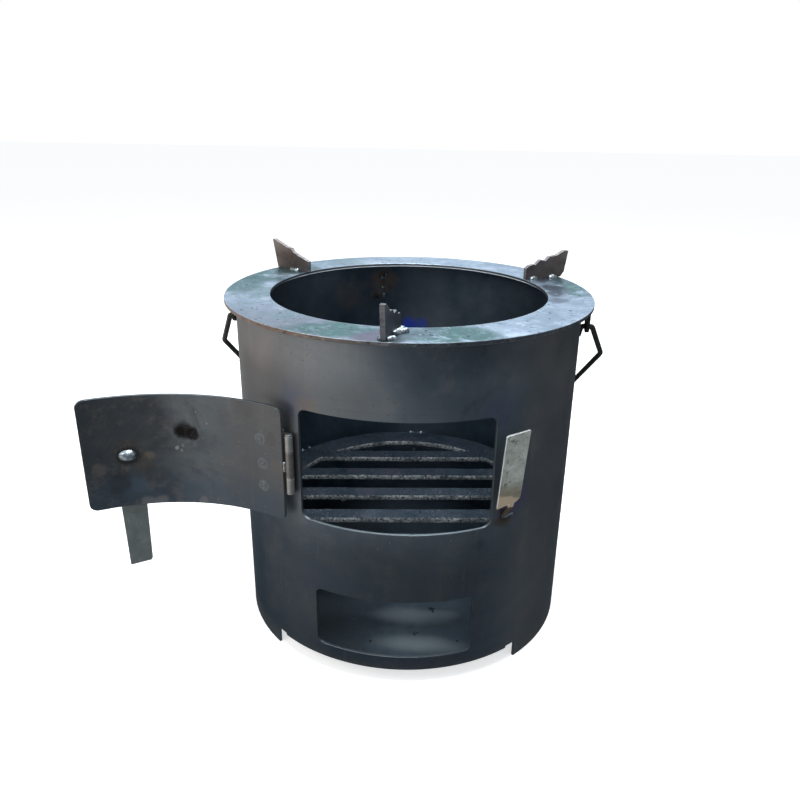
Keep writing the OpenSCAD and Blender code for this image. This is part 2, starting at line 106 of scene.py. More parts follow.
def door_pose(point):
    """A point of the closed door, turned half round the hinge to the open pose."""
    return Vector((2 * HINGE_X - point.x, 2 * HINGE_Y - point.y, point.z))


def door_inward(azimuth):
    """Unit direction off the door's inner face, in the open pose."""
    return (door_pose(at_az(azimuth, 0, 1, 0)) - door_pose(Vector((0, 0, 0)))).normalized()


# ---------------------------------------------------------------- mesh helpers
def point_attribute(mesh, name, values):
    layer = mesh.attributes.new(name, "FLOAT", "POINT")
    layer.data.foreach_set("value", np.asarray(values, np.float32))


def link_mesh(name, mesh, sharp_angle):
    mesh.polygons.foreach_set("use_smooth", [True] * len(mesh.polygons))
    mesh.set_sharp_from_angle(angle=rad(sharp_angle))
    mesh.update()
    ob = bpy.data.objects.new(name, mesh)
    bpy.context.scene.collection.objects.link(ob)
    return ob


def new_object(name, verts, faces, attributes, sharp_angle=35.0):
    mesh = bpy.data.meshes.new(name)
    mesh.from_pydata([tuple(v) for v in verts], [], faces)
    for key, values in attributes.items():
        point_attribute(mesh, key, values)
    bm = bmesh.new()
    bm.from_mesh(mesh)
    bmesh.ops.recalc_face_normals(bm, faces=bm.faces)
    bm.to_mesh(mesh)
    bm.free()
    return link_mesh(name, mesh, sharp_angle)


def place(ob, material, body, node):
    """Gives the object its material, its moving body and the CAD node it replaces."""
    ob.data.materials.append(material)
    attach(ob, body)
    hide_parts(node)


# ---------------------------------------------------------------- outlines
def signed_area(loop):
    x, y = loop[:, 0], loop[:, 1]
    return 0.5 * float(np.sum(x * np.roll(y, -1) - np.roll(x, -1) * y))


def dense(loop, step):
    """The loop with points added so that none is further than step from the next."""
    out = []
    for i in range(len(loop)):
        a, b = loop[i], loop[(i + 1) % len(loop)]
        count = max(1, int(math.ceil(np.linalg.norm(b - a) / step)))
        for j in range(count):
            out.append(a + (b - a) * j / count)
    return np.array(out)


def inward(loop):
    """Unit-distance offset direction into the solid, which lies left of the walk."""
    along = np.roll(loop, -1, 0) - loop
    along /= np.maximum(np.linalg.norm(along, axis=1)[:, None], 1e-12)
    normal = np.stack([-along[:, 1], along[:, 0]], 1)
    mitre = normal + np.roll(normal, 1, 0)
    mitre /= np.maximum(np.linalg.norm(mitre, axis=1)[:, None], 1e-9)
    cosine = np.sum(mitre * normal, 1)
    return mitre / np.clip(cosine, 0.5, 1)[:, None]


def inside(points, loops):
    """Even-odd test of each point against all loops, done in batches."""
    result = np.zeros(len(points), bool)
    batch = 4000
    for a in loops:
        b = np.roll(a, -1, 0)
        rise = b[:, 1] - a[:, 1]
        rise = np.where(np.abs(rise) < 1e-15, 1e-15, rise)
        for start in range(0, len(points), batch):
            p = points[start:start + batch]
            y = p[:, 1][:, None]
            spans = (a[:, 1][None] > y) != (b[:, 1][None] > y)
            hit_x = a[:, 0] + (y - a[:, 1]) * (b[:, 0] - a[:, 0]) / rise
            crossed = spans & (p[:, 0][:, None] < hit_x)
            result[start:start + batch] ^= (crossed.sum(1) % 2).astype(bool)
    return result


def arc(cx, cy, radius, start, end, count):
    angles = [rad(start + (end - start) * i / count) for i in range(count + 1)]
    return [(cx + radius * math.cos(a), cy + radius * math.sin(a)) for a in angles]


def circle(radius, count, cx=0.0, cy=0.0):
    angles = [2 * math.pi * i / count for i in range(count)]
    return [(cx + radius * math.cos(a), cy + radius * math.sin(a)) for a in angles]


def bent(x, radius):
    """Straight x seen from the front, as distance round a sheet of that radius."""
    return radius * math.asin(max(-1, min(1, x / radius)))


def round_rect(x0, z0, x1, z1, corner, radius):
    """Rectangle with round corners as seen from the front, laid on a sheet of that radius."""
    points = (arc(x1 - corner, z0 + corner, corner, -90, 0, 8)
              + arc(x1 - corner, z1 - corner, corner, 0, 90, 8)
              + arc(x0 + corner, z1 - corner, corner, 90, 180, 8)
              + arc(x0 + corner, z0 + corner, corner, 180, 270, 8))
    # the straight runs need points too, so that they follow the bend
    return [(bent(x, radius), z) for x, z in dense(np.array(points), 0.004)]


# ---------------------------------------------------------------- sheet parts
def fill_points(lines, normals, inset, grid, rim):
    """Points inside the outline: a row near each edge, rim away, and a staggered grid."""
    row = np.concatenate([line[::2] + normal[::2] * rim for line, normal in zip(lines, normals)])
    border = np.concatenate(inset)
    low, high = border.min(0), border.max(0)
    xs = np.arange(low[0] + grid * 0.37, high[0], grid)
    ys = np.arange(low[1] + grid * 0.41, high[1], grid * 0.9)
    lattice = np.array([(x + (k % 2) * grid * 0.5, y) for k, y in enumerate(ys) for x in xs])
    tree = kdtree.KDTree(len(border))
    for i, p in enumerate(border):
        tree.insert((p[0], p[1], 0), i)
    tree.balance()

    def clear(points, gap):
        far = np.array([tree.find((p[0], p[1], 0))[2] > gap for p in points])
        return points[inside(points, inset) & far]
    return np.concatenate([clear(row, rim * 0.45), clear(lattice, max(rim * 1.6, grid * 0.45))])


def triangulate(inset, extra):
    """Returns the plan points, the faces in the solid, and where each source point went."""
    edges, first = [], 0
    for line in inset:
        count = len(line)
        edges += [(first + i, first + (i + 1) % count) for i in range(count)]
        first += count
    source = [Vector((p[0], p[1])) for p in np.concatenate(inset + [extra])]
    verts, _, faces, origins, _, _ = delaunay_2d_cdt(source, edges, [], 0, 1e-7, True)
    points = np.array([(v[0], v[1]) for v in verts])
    centres = np.array([points[list(f)].mean(0) for f in faces])
    faces = [f for f, keep in zip(faces, inside(centres, inset)) if keep]
    index_of = {src: i for i, sources in enumerate(origins) for src in sources}
    return points, faces, index_of


def plate(name, loops, thick, shape, step, grid, bevel, rough, seed, rough_freq=260.0,
          rows=2, wave=0.0, wave_freq=9.0, rim=0.0016, tear=None):
    """A sheet part. The loops are its plan (outer first, then holes); shape(x, y, h) puts each
    point in place, h running from 0 to thick. The cut edges get a small bevel and a rough wall
    of some rows, tear(x, y, h share) bites deeper, and wave makes the faces uneven.
    The attribute "edge" is 1 on cut walls; "h" is the share of the thickness."""
    lines = []
    for i, loop in enumerate(loops):
        loop = np.array(loop, float)
        if (signed_area(loop) > 0) != (i == 0):
            loop = loop[::-1]
        lines.append(dense(loop, step))
    normals = [inward(line) for line in lines]
    inset = [line + normal * bevel for line, normal in zip(lines, normals)]
    extra = fill_points(lines, normals, inset, grid, rim)
    points, flat_faces, index_of = triangulate(inset, extra)
    used = sorted(set(i for f in flat_faces for i in f))
    index = {u: i for i, u in enumerate(used)}
    count = len(used)
    border = {index_of[i] for i in range(sum(len(line) for line in lines))}
    verts, edge, share = [], [], []

    def put(x, y, h, edge_value):
        verts.append(Vector(shape(x, y, h)))
        edge.append(edge_value)
        share.append(h / thick)

    def lift(x, y):
        at = Vector((x * wave_freq + seed, y * wave_freq, 3.1 * seed))
        return wave * noise.noise(at)

    for base in (thick, 0.0):
        for u in used:
            x, y = points[u]
            put(x, y, base + lift(x, y), 0.75 if u in border else 0.0)
    faces = [tuple(index[i] for i in f) for f in flat_faces]
    faces += [tuple(count + index[i] for i in reversed(f)) for f in flat_faces]

    def bite(x, y, h):
        fine = Vector((x * rough_freq + seed, y * rough_freq, h * rough_freq * 0.35))
        coarse = Vector((x * rough_freq * 0.22, y * rough_freq * 0.22 + seed, h * 40))
        depth = rough * (0.5 + 0.5 * noise.noise(fine))
        depth += rough * 0.6 * abs(noise.noise(coarse))
        if tear:
            depth += tear(x, y, h / thick)
        return depth

    first = 0
    for line, normal in zip(lines, normals):
        size = len(line)
        top = [index[index_of[first + i]] for i in range(size)]
        above = top
        for r in range(rows + 1):
            h = thick - bevel - (thick - 2 * bevel) * r / rows
            row = []
            for i in range(size):
                x, y = line[i]
                x2, y2 = line[i] + normal[i] * bite(x, y, h)
                row.append(len(verts))
                put(x2, y2, h + lift(x, y), 1.0)
            for i in range(size):
                j = (i + 1) % size
                if above[i] != above[j]:
                    faces.append((above[i], row[i], row[j], above[j]))
                else:
                    faces.append((above[i], row[i], row[j]))
            above = row
        bottom = [count + i for i in top]
        for i in range(size):
            j = (i + 1) % size
            if bottom[i] != bottom[j]:
                faces.append((above[i], bottom[i], bottom[j], above[j]))
            else:
                faces.append((above[i], bottom[i], above[j]))
        first += size
    return new_object(name, verts, faces, {"edge": edge, "h": share})


def refined(node, name, material, body, seed, bevel=0.0004, cut=0.003, dent=0.0001):
    """The node's own solid, its sharp edges rounded, its faces divided and slightly dented."""
    bm = bmesh.new()
    bm.from_mesh(frame["nodes"][node].data)
    bmesh.ops.remove_doubles(bm, verts=bm.verts, dist=1e-6)
    bmesh.ops.dissolve_limit(bm, angle_limit=rad(1.0), verts=bm.verts, edges=bm.edges)
    sharp = [e for e in bm.edges if len(e.link_faces) == 2 and e.calc_face_angle(0) > rad(30)]
    bmesh.ops.bevel(bm, geom=sharp, offset=bevel, segments=2, affect="EDGES", profile=0.5,
                    clamp_overlap=True)
    bmesh.ops.triangulate(bm, faces=bm.faces)
    for _ in range(7):
        long_edges = [e for e in bm.edges if e.calc_length() > cut]
        if not long_edges or len(bm.verts) > 60000:
            break
        bmesh.ops.subdivide_edges(bm, edges=long_edges, cuts=1)
        bmesh.ops.triangulate(bm, faces=bm.faces)
    bm.normal_update()
    edge = []
    for v in bm.verts:
        bend = max((e.calc_face_angle(0) for e in v.link_edges if len(e.link_faces) == 2),
                   default=0)
        edge.append(min(1.0, bend / rad(25)))
    for v in bm.verts:
        depth = 0.5 + 0.5 * noise.noise(v.co * 90 + Vector((seed, 0, 0)))
        v.co += -v.normal * dent * depth
    mesh = bpy.data.meshes.new(name)
    bm.to_mesh(mesh)
    bm.free()
    point_attribute(mesh, "edge", edge)
    place(link_mesh(name, mesh, 32), material, body, node)


# ---------------------------------------------------------------- welds and rods
def icosphere(subdivisions):
    bm = bmesh.new()
    bmesh.ops.create_icosphere(bm, subdivisions=subdivisions, radius=1)
    verts = [v.co.copy() for v in bm.verts]
    faces = [tuple(v.index for v in f.verts) for f in bm.faces]
    bm.free()
    return verts, faces


BALL = icosphere(3)
DROP = icosphere(1)


class Lumps:
    """Gathers blobs, beads and rods into one object."""

    def __init__(self):
        self.verts = []
        self.faces = []

    def blob(self, centre, radius, normal, squash, rough, seed, ball=BALL):
        """An uneven ball, pressed along its normal."""
        normal = Vector(normal).normalized()
        first = len(self.verts)
        centre = Vector(centre)
        for s in ball[0]:
            q = s * (1 + rough * noise.noise(s * 1.7 + Vector((seed, seed * 2.3, 1.1)))
                     + rough * 0.4 * noise.noise(s * 5.1 + Vector((seed, 7, 2))))
            height = q.dot(normal)
            q = q - normal * height + normal * height * squash
            self.verts.append(centre + q * radius)
        self.faces += [tuple(first + i for i in f) for f in ball[1]]

    def tube(self, points, radius_at, sides, rough=0.0, seed=0.0, flat=None):
        """Round rod along the points. radius_at(share along, angle) is its radius;
        flat=(normal, share) presses it."""
        points = [Vector(p) for p in points]
        n = len(points)
        along = [(points[min(i + 1, n - 1)] - points[max(i - 1, 0)]).normalized()
                 for i in range(n)]
        ref = Vector((0, 0, 1)) if abs(along[0].z) < 0.9 else Vector((1, 0, 0))
        up = (ref - along[0] * ref.dot(along[0])).normalized()
        first = len(self.verts)
        for i in range(n):
            up = (up - along[i] * up.dot(along[i])).normalized()
            across = along[i].cross(up)
            for j in range(sides):
                a = 2 * math.pi * j / sides
                d = up * math.cos(a) + across * math.sin(a)
                radius = radius_at(i / (n - 1), a)
                if rough:
                    at = points[i] * 400 + d * 1.5 + Vector((seed, 0, 0))
                    radius *= 1 + rough * noise.noise(at)
                v = d * radius
                if flat:
                    normal = Vector(flat[0]).normalized()
                    v = v - normal * v.dot(normal) * (1 - flat[1])
                self.verts.append(points[i] + v)
        for i in range(n - 1):
            for j in range(sides):
                a, b = first + i * sides + j, first + i * sides + (j + 1) % sides
                self.faces.append((a, b, b + sides, a + sides))
        for end, is_start in ((first, True), (first + (n - 1) * sides, False)):
            c = len(self.verts)
            self.verts.append(points[0] if is_start else points[-1])
            for j in range(sides):
                a, b = end + j, end + (j + 1) % sides
                self.faces.append((c, b, a) if is_start else (c, a, b))

    def bead(self, start, end, radius, normal, seed, squash, pitch=0.0016):
        """Rippled weld bead from start to end, its crown towards the normal."""
        start, end, normal = Vector(start), Vector(end), Vector(normal).normalized()
        along = end - start
        length = along.length + 2 * radius
        along.normalize()
        start = start - along * radius
        side = along.cross(normal)
        count = max(18, int(length / 0.0004))
        points = []
        for i in range(count + 1):
            x = i / count * length
            sway = noise.noise(Vector((x * 260, seed, 0)))
            points.append(start + along * x + side * radius * 0.22 * sway)

        def cap(distance):
            return math.sqrt(max(0.0, 1 - max(0, 1 - distance / radius) ** 2))

        def radius_at(u, a):
            x = u * length
            taper = min(1.0, cap(x), cap(length - x))
            ripple = (1 + 0.10 * abs(math.sin(math.pi * x / pitch + 0.7 * math.cos(a)))
                      + 0.12 * noise.noise(Vector((x * 300, seed + a * 0.15, 2))))
            return max(1e-5, radius * taper * ripple)
        self.tube(points, radius_at, sides=16, flat=(normal, squash))

    def spatter(self, scatter, count, low, high, seed):
        """Tiny drops of weld metal; scatter(rng) gives (point, normal)."""
        rng = np.random.RandomState(seed)
        for i in range(count):
            centre, normal = scatter(rng)
            radius = low + (high - low) * rng.rand() ** 2.5
            self.blob(centre, radius, normal, squash=0.6, rough=0.1, seed=seed + i * 0.37,
                      ball=DROP)

    def build(self, name):
        return new_object(name, self.verts, self.faces, {"edge": [0.0] * len(self.verts)}, 60)

    def build_weld(self, name, node, material=None, body="stove_body"):
        place(self.build(name), material or WELD, body, node)


# ---------------------------------------------------------------- shader helpers
class Signal:
    """A shader output. Working with it adds nodes to its tree."""

    def __init__(self, nodes, socket):
        self.nodes = nodes
        self.socket = socket

    def __mul__(self, other):
        return self.nodes.math("MULTIPLY", self, other)

    def __add__(self, other):
        return self.nodes.math("ADD", self, other)

    def __sub__(self, other):
        return self.nodes.math("SUBTRACT", self, other)

    def __rsub__(self, other):
        return self.nodes.math("SUBTRACT", other, self)

    def gain(self, factor, plus):
        return self.nodes.math("MULTIPLY_ADD", self, factor, plus)

    def absolute(self):
        return self.nodes.math("ABSOLUTE", self)

    def scaled(self, x, y, z):
        return self.nodes.add("ShaderNodeVectorMath", {0: self, 1: (x, y, z)},
                              operation="MULTIPLY")

    def moved(self, offset):
        return self.nodes.add("ShaderNodeVectorMath", {0: self, 1: offset}, operation="ADD")

    def step(self, start, to):
        """Smooth mask: 0 at start, 1 at to, which may lie below start."""
        span = (start, to, 0, 1) if start < to else (to, start, 1, 0)
        names = ("From Min", "From Max", "To Min", "To Max")
        return self.nodes.add("ShaderNodeMapRange", {"Value": self, **dict(zip(names, span))},
                              "Result", interpolation_type="SMOOTHSTEP")

    def ramp(self, *stops):
        """Colour ramp through (position, colour or grey level) stops."""
        node = self.nodes.node("ShaderNodeValToRGB", {0: self})
        elements = node.color_ramp.elements
        while len(elements) < len(stops):
            elements.new(0.5)
        for element, (position, color) in zip(elements, stops):
            element.position = position
            element.color = (*color, 1) if isinstance(color, tuple) else (color,) * 3 + (1,)
        return Signal(self.nodes, node.outputs[0])

    def paint(self, mask, color, share=None):
        """This colour with another laid over it where the mask is 1, at up to share."""
        return self.nodes.mix(mask if share is None else mask * share, self, color)


class Nodes:
    """A shader tree, cleared, with short ways to add nodes."""

    def __init__(self, owner):
        owner.use_nodes = True
        self.tree = owner.node_tree
        self.tree.nodes.clear()

    def feed(self, socket, value):
        if isinstance(value, Signal):
            self.tree.links.new(value.socket, socket)
        elif isinstance(value, tuple) and len(value) == 3 and socket.type == "RGBA":
            socket.default_value = (*value, 1)
        else:
            socket.default_value = value

    def node(self, kind, inputs=None, **settings):
        node = self.tree.nodes.new(kind)
        for key, value in settings.items():
            setattr(node, key, value)
        for key, value in (inputs or {}).items():
            self.feed(node.inputs[key], value)
        return node

    def add(self, kind, inputs=None, output=0, **settings):
        return Signal(self, self.node(kind, inputs, **settings).outputs[output])

    def math(self, operation, a, b=0.0, c=None):
        inputs = {0: a, 1: b}
        if c is not None:
            inputs[2] = c
        return self.add("ShaderNodeMath", inputs, operation=operation)

    def mix(self, mask, a, b):
        return self.add("ShaderNodeMix", {0: mask, 6: a, 7: b}, 2, data_type="RGBA")

    def mix_value(self, mask, a, b):
        return self.add("ShaderNodeMix", {0: mask, 2: a, 3: b}, 0, data_type="FLOAT")

    def split(self, vector):
        node = self.node("ShaderNodeSeparateXYZ", {0: vector})
        return [Signal(self, socket) for socket in node.outputs]


class Mat(Nodes):
    """A principled material, its patterns laid out in object space."""

    def __init__(self, name):
        self.material = bpy.data.materials.new(name)
        super().__init__(self.material)
        self.surface = self.node("ShaderNodeBsdfPrincipled")
        self.node("ShaderNodeOutputMaterial", {0: Signal(self, self.surface.outputs[0])})
        self.coords = self.add("ShaderNodeTexCoord", output="Object")

    @cached_property
    def edge(self):
        return self.attribute("edge")

    def attribute(self, name):
        return self.add("ShaderNodeAttribute", output="Fac", attribute_name=name)

    def xyz(self):
        return self.split(self.coords)

    def noise(self, scale, detail=4.0, rough=0.55, vector=None, distort=0.0):
        inputs = {"Scale": scale, "Detail": detail, "Roughness": rough, "Distortion": distort,
                  "Vector": vector or self.coords}
        return self.add("ShaderNodeTexNoise", inputs, "Fac")

    def voronoi(self, scale, vector=None, feature="F1"):
        inputs = {"Scale": scale, "Vector": vector or self.coords}
        return self.add("ShaderNodeTexVoronoi", inputs, "Distance", feature=feature)

    def dist(self, point, warp, warp_scale=60.0, scale=(1, 1, 1)):
        """Distance to a point, its outline made ragged by warp."""
        vector = self.coords
        if warp:
            inputs = {"Scale": warp_scale, "Detail": 3, "Vector": self.coords}
            shift = self.add("ShaderNodeTexNoise", inputs, "Color").moved((-0.5, -0.5, -0.5))
            vector = vector.moved(shift.scaled(*(warp * 2,) * 3))
        vector = vector.moved((-point[0], -point[1], -point[2])).scaled(*scale)
        return self.add("ShaderNodeVectorMath", {0: vector}, "Value", operation="LENGTH")

    def spots(self, base, rows, warp_scale, core, within=None):
        """Lays round stains over base. Rows are (place, radius, warp, share, colour); each
        stain is full from its centre to core times its radius."""
        for point, radius, warp, share, color in rows:
            mask = self.dist(point, warp, warp_scale).step(radius, to=radius * core) * share
            if within:
                mask = mask * within
            base = base.paint(mask, color)
        return base

    def round_coords(self):
        """Coordinates running round the stove, with the azimuth in radians and the height."""
        x, y, z = self.xyz()
        azimuth = self.math("ARCTAN2", x, y * -1.0)
        radius = self.math("SQRT", x * x + y * y)
        # the pattern's own cut falls on the rolled seam
        unrolled = azimuth + self.math("LESS_THAN", azimuth, -2.9007) * (2 * math.pi)
        inputs = {0: unrolled * 0.19, 1: radius * 1, 2: z * 1}
        return self.add("ShaderNodeCombineXYZ", inputs), azimuth, z

    def finish(self, color, rough, metal, bumps, tint=None):
        """Joins the patterns to the surface. Bumps are (height, strength, distance) rows."""
        inputs = {"Base Color": color, "Roughness": rough, "Metallic": metal}
        if tint is not None:
            inputs["Specular Tint"] = tint
        normal = {}
        for height, strength, distance in bumps:
            bump = {"Strength": strength, "Distance": distance, "Height": height, **normal}
            normal = {"Normal": self.add("ShaderNodeBump", bump)}
        for key, value in {**inputs, **normal}.items():
            self.feed(self.surface.inputs[key], value)
        return self.material


# ---------------------------------------------------------------- sheet materials
def sheet_material(name, low=(0.14, 0.18, 0.22), high=(0.225, 0.26, 0.29), marks=None):
    """Hot-rolled sheet with mill scale: slate blue, mottled, paler along the cut edges.
    marks(mat, base, azimuth, height) adds a part's own stains."""
    mat = Mat(name)
    around, azimuth, height = mat.round_coords()
    big = mat.noise(scale=6.5, detail=5, rough=0.6, distort=0.6)
    mid = mat.noise(scale=34, detail=6, rough=0.68)
    rolled = mat.noise(scale=1, detail=5, rough=0.7, vector=around.scaled(9, 9, 700))
    streak = mat.noise(scale=1, detail=6, rough=0.72, vector=around.scaled(70, 70, 6))
    fine = mat.noise(scale=900, detail=4, rough=0.6)
    base = big.ramp((0.34, low), (0.66, high))
    base = base.paint(mid.step(0.5, to=0.72), (0.33, 0.33, 0.32), share=0.35)
    base = base.paint(mid.step(0.44, to=0.3), (0.10, 0.13, 0.16), share=0.45)
    base = base.paint(streak.step(0.56, to=0.72), (0.36, 0.37, 0.37), share=0.28)
    base = base.paint(rolled.step(0.5, to=0.75), (0.12, 0.14, 0.17), share=0.22)
    # dark pits and small light nicks
    pits = (mat.voronoi(scale=210).step(0.16, to=0.05)
            * mat.noise(scale=14, detail=3).step(0.52, to=0.62))
    base = base.paint(pits, (0.03, 0.035, 0.04), share=0.7)
    nicks = (mat.voronoi(scale=95, vector=around.scaled(1, 1, 0.45)).step(0.07, to=0.02)
             * mat.noise(scale=9, detail=2).step(0.5, to=0.6))
    base = base.paint(nicks, (0.6, 0.62, 0.62), share=0.6)
    # long thin scratches
    cells = around.moved((0.013, 0, 0.007)).scaled(26, 26, 330)
    scratches = (mat.voronoi(scale=1, vector=cells, feature="DISTANCE_TO_EDGE")
                 .step(0.02, to=0.004) * mat.noise(scale=11, detail=3).step(0.54, to=0.66))
    base = base.paint(scratches, (0.42, 0.44, 0.45), share=0.10)
    if marks:
        base = marks(mat, base, azimuth, height)
    worn = (mat.edge.step(0.35, to=0.9)
            * mat.noise(scale=160, detail=4, rough=0.7).ramp((0.3, 0.25), (0.62, 1.0)))
    base = base.paint(worn, (0.17, 0.195, 0.205), share=0.7)
    rough = mid.gain(0.26, plus=0.30) + rolled * 0.08
    rough = mat.mix_value(pits * 1.0, rough, 0.8)
    rough = mat.mix_value(worn, rough, 0.44)
    bumps = ((fine, 0.10, 0.0002), (rolled, 0.10, 0.0003), (mid, 0.16, 0.0005),
             (big, 0.30, 0.004), (1.0 - pits, 0.35, 0.0003))
    return mat.finish(base, rough, metal=0.95, bumps=bumps, tint=(0.35, 0.4, 0.45))


# Stain tables: place, radius, warp, share, colour.
# Heat tints on the shell, by its openings and along the seam.
SHELL_TINTS = (
    (az(-31, SHELL_RO, 0.306), 0.030, 0.012, 0.40, (0.11, 0.15, 0.30)),
    (az(-27, SHELL_RO, 0.306), 0.02, 0.012, 0.35, (0.35, 0.27, 0.16)),
    (az(31, SHELL_RO, 0.304), 0.03, 0.012, 0.35, (0.13, 0.15, 0.30)),
    (az(39, SHELL_RO, 0.207), 0.028, 0.012, 0.5, (0.17, 0.13, 0.34)),
    (az(35, SHELL_RO, 0.187), 0.014, 0.012, 0.85, (0.15, 0.10, 0.065)),
    (az(-38, SHELL_RO, 0.24), 0.03, 0.012, 0.45, (0.20, 0.14, 0.10)),
    (az(-24, SHELL_RO, 0.110), 0.03, 0.012, 0.25, (0.16, 0.18, 0.30)),
    (az(SEAM_AZ, SHELL_RO, 0.34), 0.04, 0.012, 0.6, (0.26, 0.18, 0.12)),
    (az(SEAM_AZ, SHELL_RO, 0.2), 0.05, 0.012, 0.45, (0.14, 0.16, 0.30)),
    (az(SEAM_AZ, SHELL_RO, 0.06), 0.05, 0.012, 0.45, (0.24, 0.18, 0.12)),
)
# Inside the back wall: burn marks and brown bloom by the seam; lower down, two bright blue spots
# that are a painted reflection.
BACK_WALL_BURNS_AND_BLUE_REFLECTION = (
    ((-0.046, 0.181, 0.360), 0.010, 0.006, 0.8, (0.03, 0.025, 0.025)),
    ((-0.036, 0.183, 0.343), 0.006, 0.004, 0.8, (0.03, 0.025, 0.025)),
    ((-0.053, 0.1795, 0.332), 0.008, 0.006, 0.75, (0.035, 0.03, 0.03)),
    ((-0.046, 0.181, 0.352), 0.026, 0.016, 0.55, (0.36, 0.25, 0.18)),
    # painted reflection: two bright blue spots
    ((-0.0095, 0.187, 0.290), 0.015, 0.004, 1.0, (0.02, 0.10, 1.0)),
    ((0.008, 0.1865, 0.292), 0.012, 0.004, 0.8, (0.04, 0.14, 0.9)),
    ((-0.09, 0.164, 0.335), 0.03, 0.02, 0.30, (0.40, 0.33, 0.27)),
)


def shell_marks(mat, base, azimuth, height):
    x, y, _ = mat.xyz()
    # warm grey-brown on the upper left: partly heat bloom, partly painted warm light
    bloom_and_warm_light = azimuth.step(-0.25, to=-1.0) * azimuth.step(-2.95, to=-2.1)
    bloom_and_warm_light = bloom_and_warm_light * height.step(0.12, to=0.34)
    bloom_and_warm_light = bloom_and_warm_light * mat.noise(scale=16, detail=4).gain(0.5, plus=0.30)
    base = base.paint(bloom_and_warm_light, (0.36, 0.325, 0.30))
    base = mat.spots(base, SHELL_TINTS, warp_scale=38, core=0.25)
    # brown run down the seam, and at its mirror azimuth, on the left half only
    from_seam = (azimuth.absolute() - rad(360 - SEAM_AZ)).absolute()
    run = (from_seam.step(0.09, to=0.01) * x.step(0.0, to=-0.01)
           * mat.noise(scale=30, detail=4).gain(0.8, plus=0.1))
    base = base.paint(run, (0.20, 0.145, 0.11), share=0.7)
    # painted shade: darker towards the foot, a painted shadow under the ring, and painted shade
    # across the left; neutral grey on the right
    wobble = (mat.noise(scale=7, detail=4) - 0.5) * 0.08
    foot = (height + wobble).step(0.215, to=0.135) * x.step(0.15, to=0.07)
    base = base.paint(foot, (0.018, 0.024, 0.032), share=0.52)
    # painted shadow under the ring
    top = (height + wobble).step(0.325, to=0.365) * x.step(-0.06, to=0.03)
    base = base.paint(top, (0.018, 0.024, 0.032), share=0.34)
    # painted shade across the left
    left = ((height.step(0.19, to=0.23) * height.step(0.355, to=0.32))
            * (x.step(-0.185, to=-0.15) * x.step(0.0, to=-0.04)))
    base = base.paint(left, (0.03, 0.035, 0.04), share=0.28)
    base = base.paint(x.step(0.10, to=0.15), (0.27, 0.245, 0.225), share=0.45)
    # rubbed lower edge
    rubbed = height.step(0.03, to=0.004) * mat.noise(scale=60, detail=5)
    base = base.paint(rubbed, (0.30, 0.29, 0.27), share=0.7)
    # inside face: cooler and darker
    inner = mat.attribute("h").step(0.3, to=0.05)
    soot = mat.noise(scale=13, detail=5, rough=0.65).ramp((0.35, (0.070, 0.115, 0.16)),
                                                          (0.7, (0.19, 0.24, 0.30)))
    base = base.paint(inner, soot, share=0.85)
    base = mat.spots(base, BACK_WALL_BURNS_AND_BLUE_REFLECTION, warp_scale=70, core=0.3, within=inner)
    # pale upright band on the inside of the back wall
    band = ((y.step(0.0, to=0.05) * inner)
            * (x.step(-0.035, to=-0.01) * x.step(0.055, to=0.03)))
    return base.paint(band, (0.40, 0.41, 0.43), share=0.16)


# Stains on the door's inner face, in the open pose.
DOOR_STAINS = (
    ((-0.2195, -0.139, 0.2625), 0.0125, 0.006, 0.88, (0.022, 0.020, 0.020)),
    ((-0.2105, -0.139, 0.2585), 0.0085, 0.005, 0.9, (0.016, 0.014, 0.014)),
    ((-0.2235, -0.139, 0.2600), 0.0080, 0.005, 0.9, (0.016, 0.015, 0.015)),
    ((-0.228, -0.1395, 0.2430), 0.0030, 0.003, 0.8, (0.40, 0.42, 0.43)),
    ((-0.2235, -0.1395, 0.2395), 0.0022, 0.002, 0.7, (0.30, 0.30, 0.30)),
    ((-0.2215, -0.1395, 0.2445), 0.0022, 0.002, 0.6, (0.30, 0.32, 0.33)),
    ((-0.275, -0.150, 0.2445), 0.0130, 0.010, 0.50, (0.105, 0.09, 0.075)),
    ((-0.262, -0.1466, 0.2280), 0.0130, 0.010, 0.50, (0.13, 0.11, 0.095)),
    ((-0.282, -0.151, 0.2340), 0.0120, 0.008, 0.60, (0.10, 0.085, 0.07)),
    ((-0.256, -0.1450, 0.2345), 0.0060, 0.005, 0.55, (0.24, 0.20, 0.17)),
    ((-0.303, -0.158, 0.2250), 0.0100, 0.009, 0.50, (0.24, 0.21, 0.19)),
    ((-0.262, -0.1466, 0.1790), 0.0100, 0.006, 0.50, (0.30, 0.31, 0.32)),
    ((-0.248, -0.1450, 0.1800), 0.0100, 0.006, 0.40, (0.33, 0.34, 0.34)),
    ((-0.205, -0.1400, 0.1800), 0.0080, 0.006, 0.40, (0.30, 0.29, 0.29)),
    ((-0.268, -0.1466, 0.2000), 0.0140, 0.010, 0.55, (0.10, 0.15, 0.20)),
    ((-0.288, -0.152, 0.2080), 0.0170, 0.012, 0.40, (0.04, 0.046, 0.056)),
    ((-0.250, -0.145, 0.2150), 0.0170, 0.012, 0.35, (0.05, 0.054, 0.062)),
    ((-0.118, -0.162, 0.2370), 0.0100, 0.008, 0.35, (0.20, 0.185, 0.172)),
    ((-0.125, -0.160, 0.2640), 0.0090, 0.006, 0.40, (0.13, 0.125, 0.12)),
    ((-0.150, -0.15, 0.2900), 0.0160, 0.012, 0.40, (0.12, 0.12, 0.125)),
)
PLUG_HALOS = ((-0.1370, -0.1536, 0.2630), (-0.1354, -0.1543, 0.2360), (-0.1354, -0.1543, 0.2112))


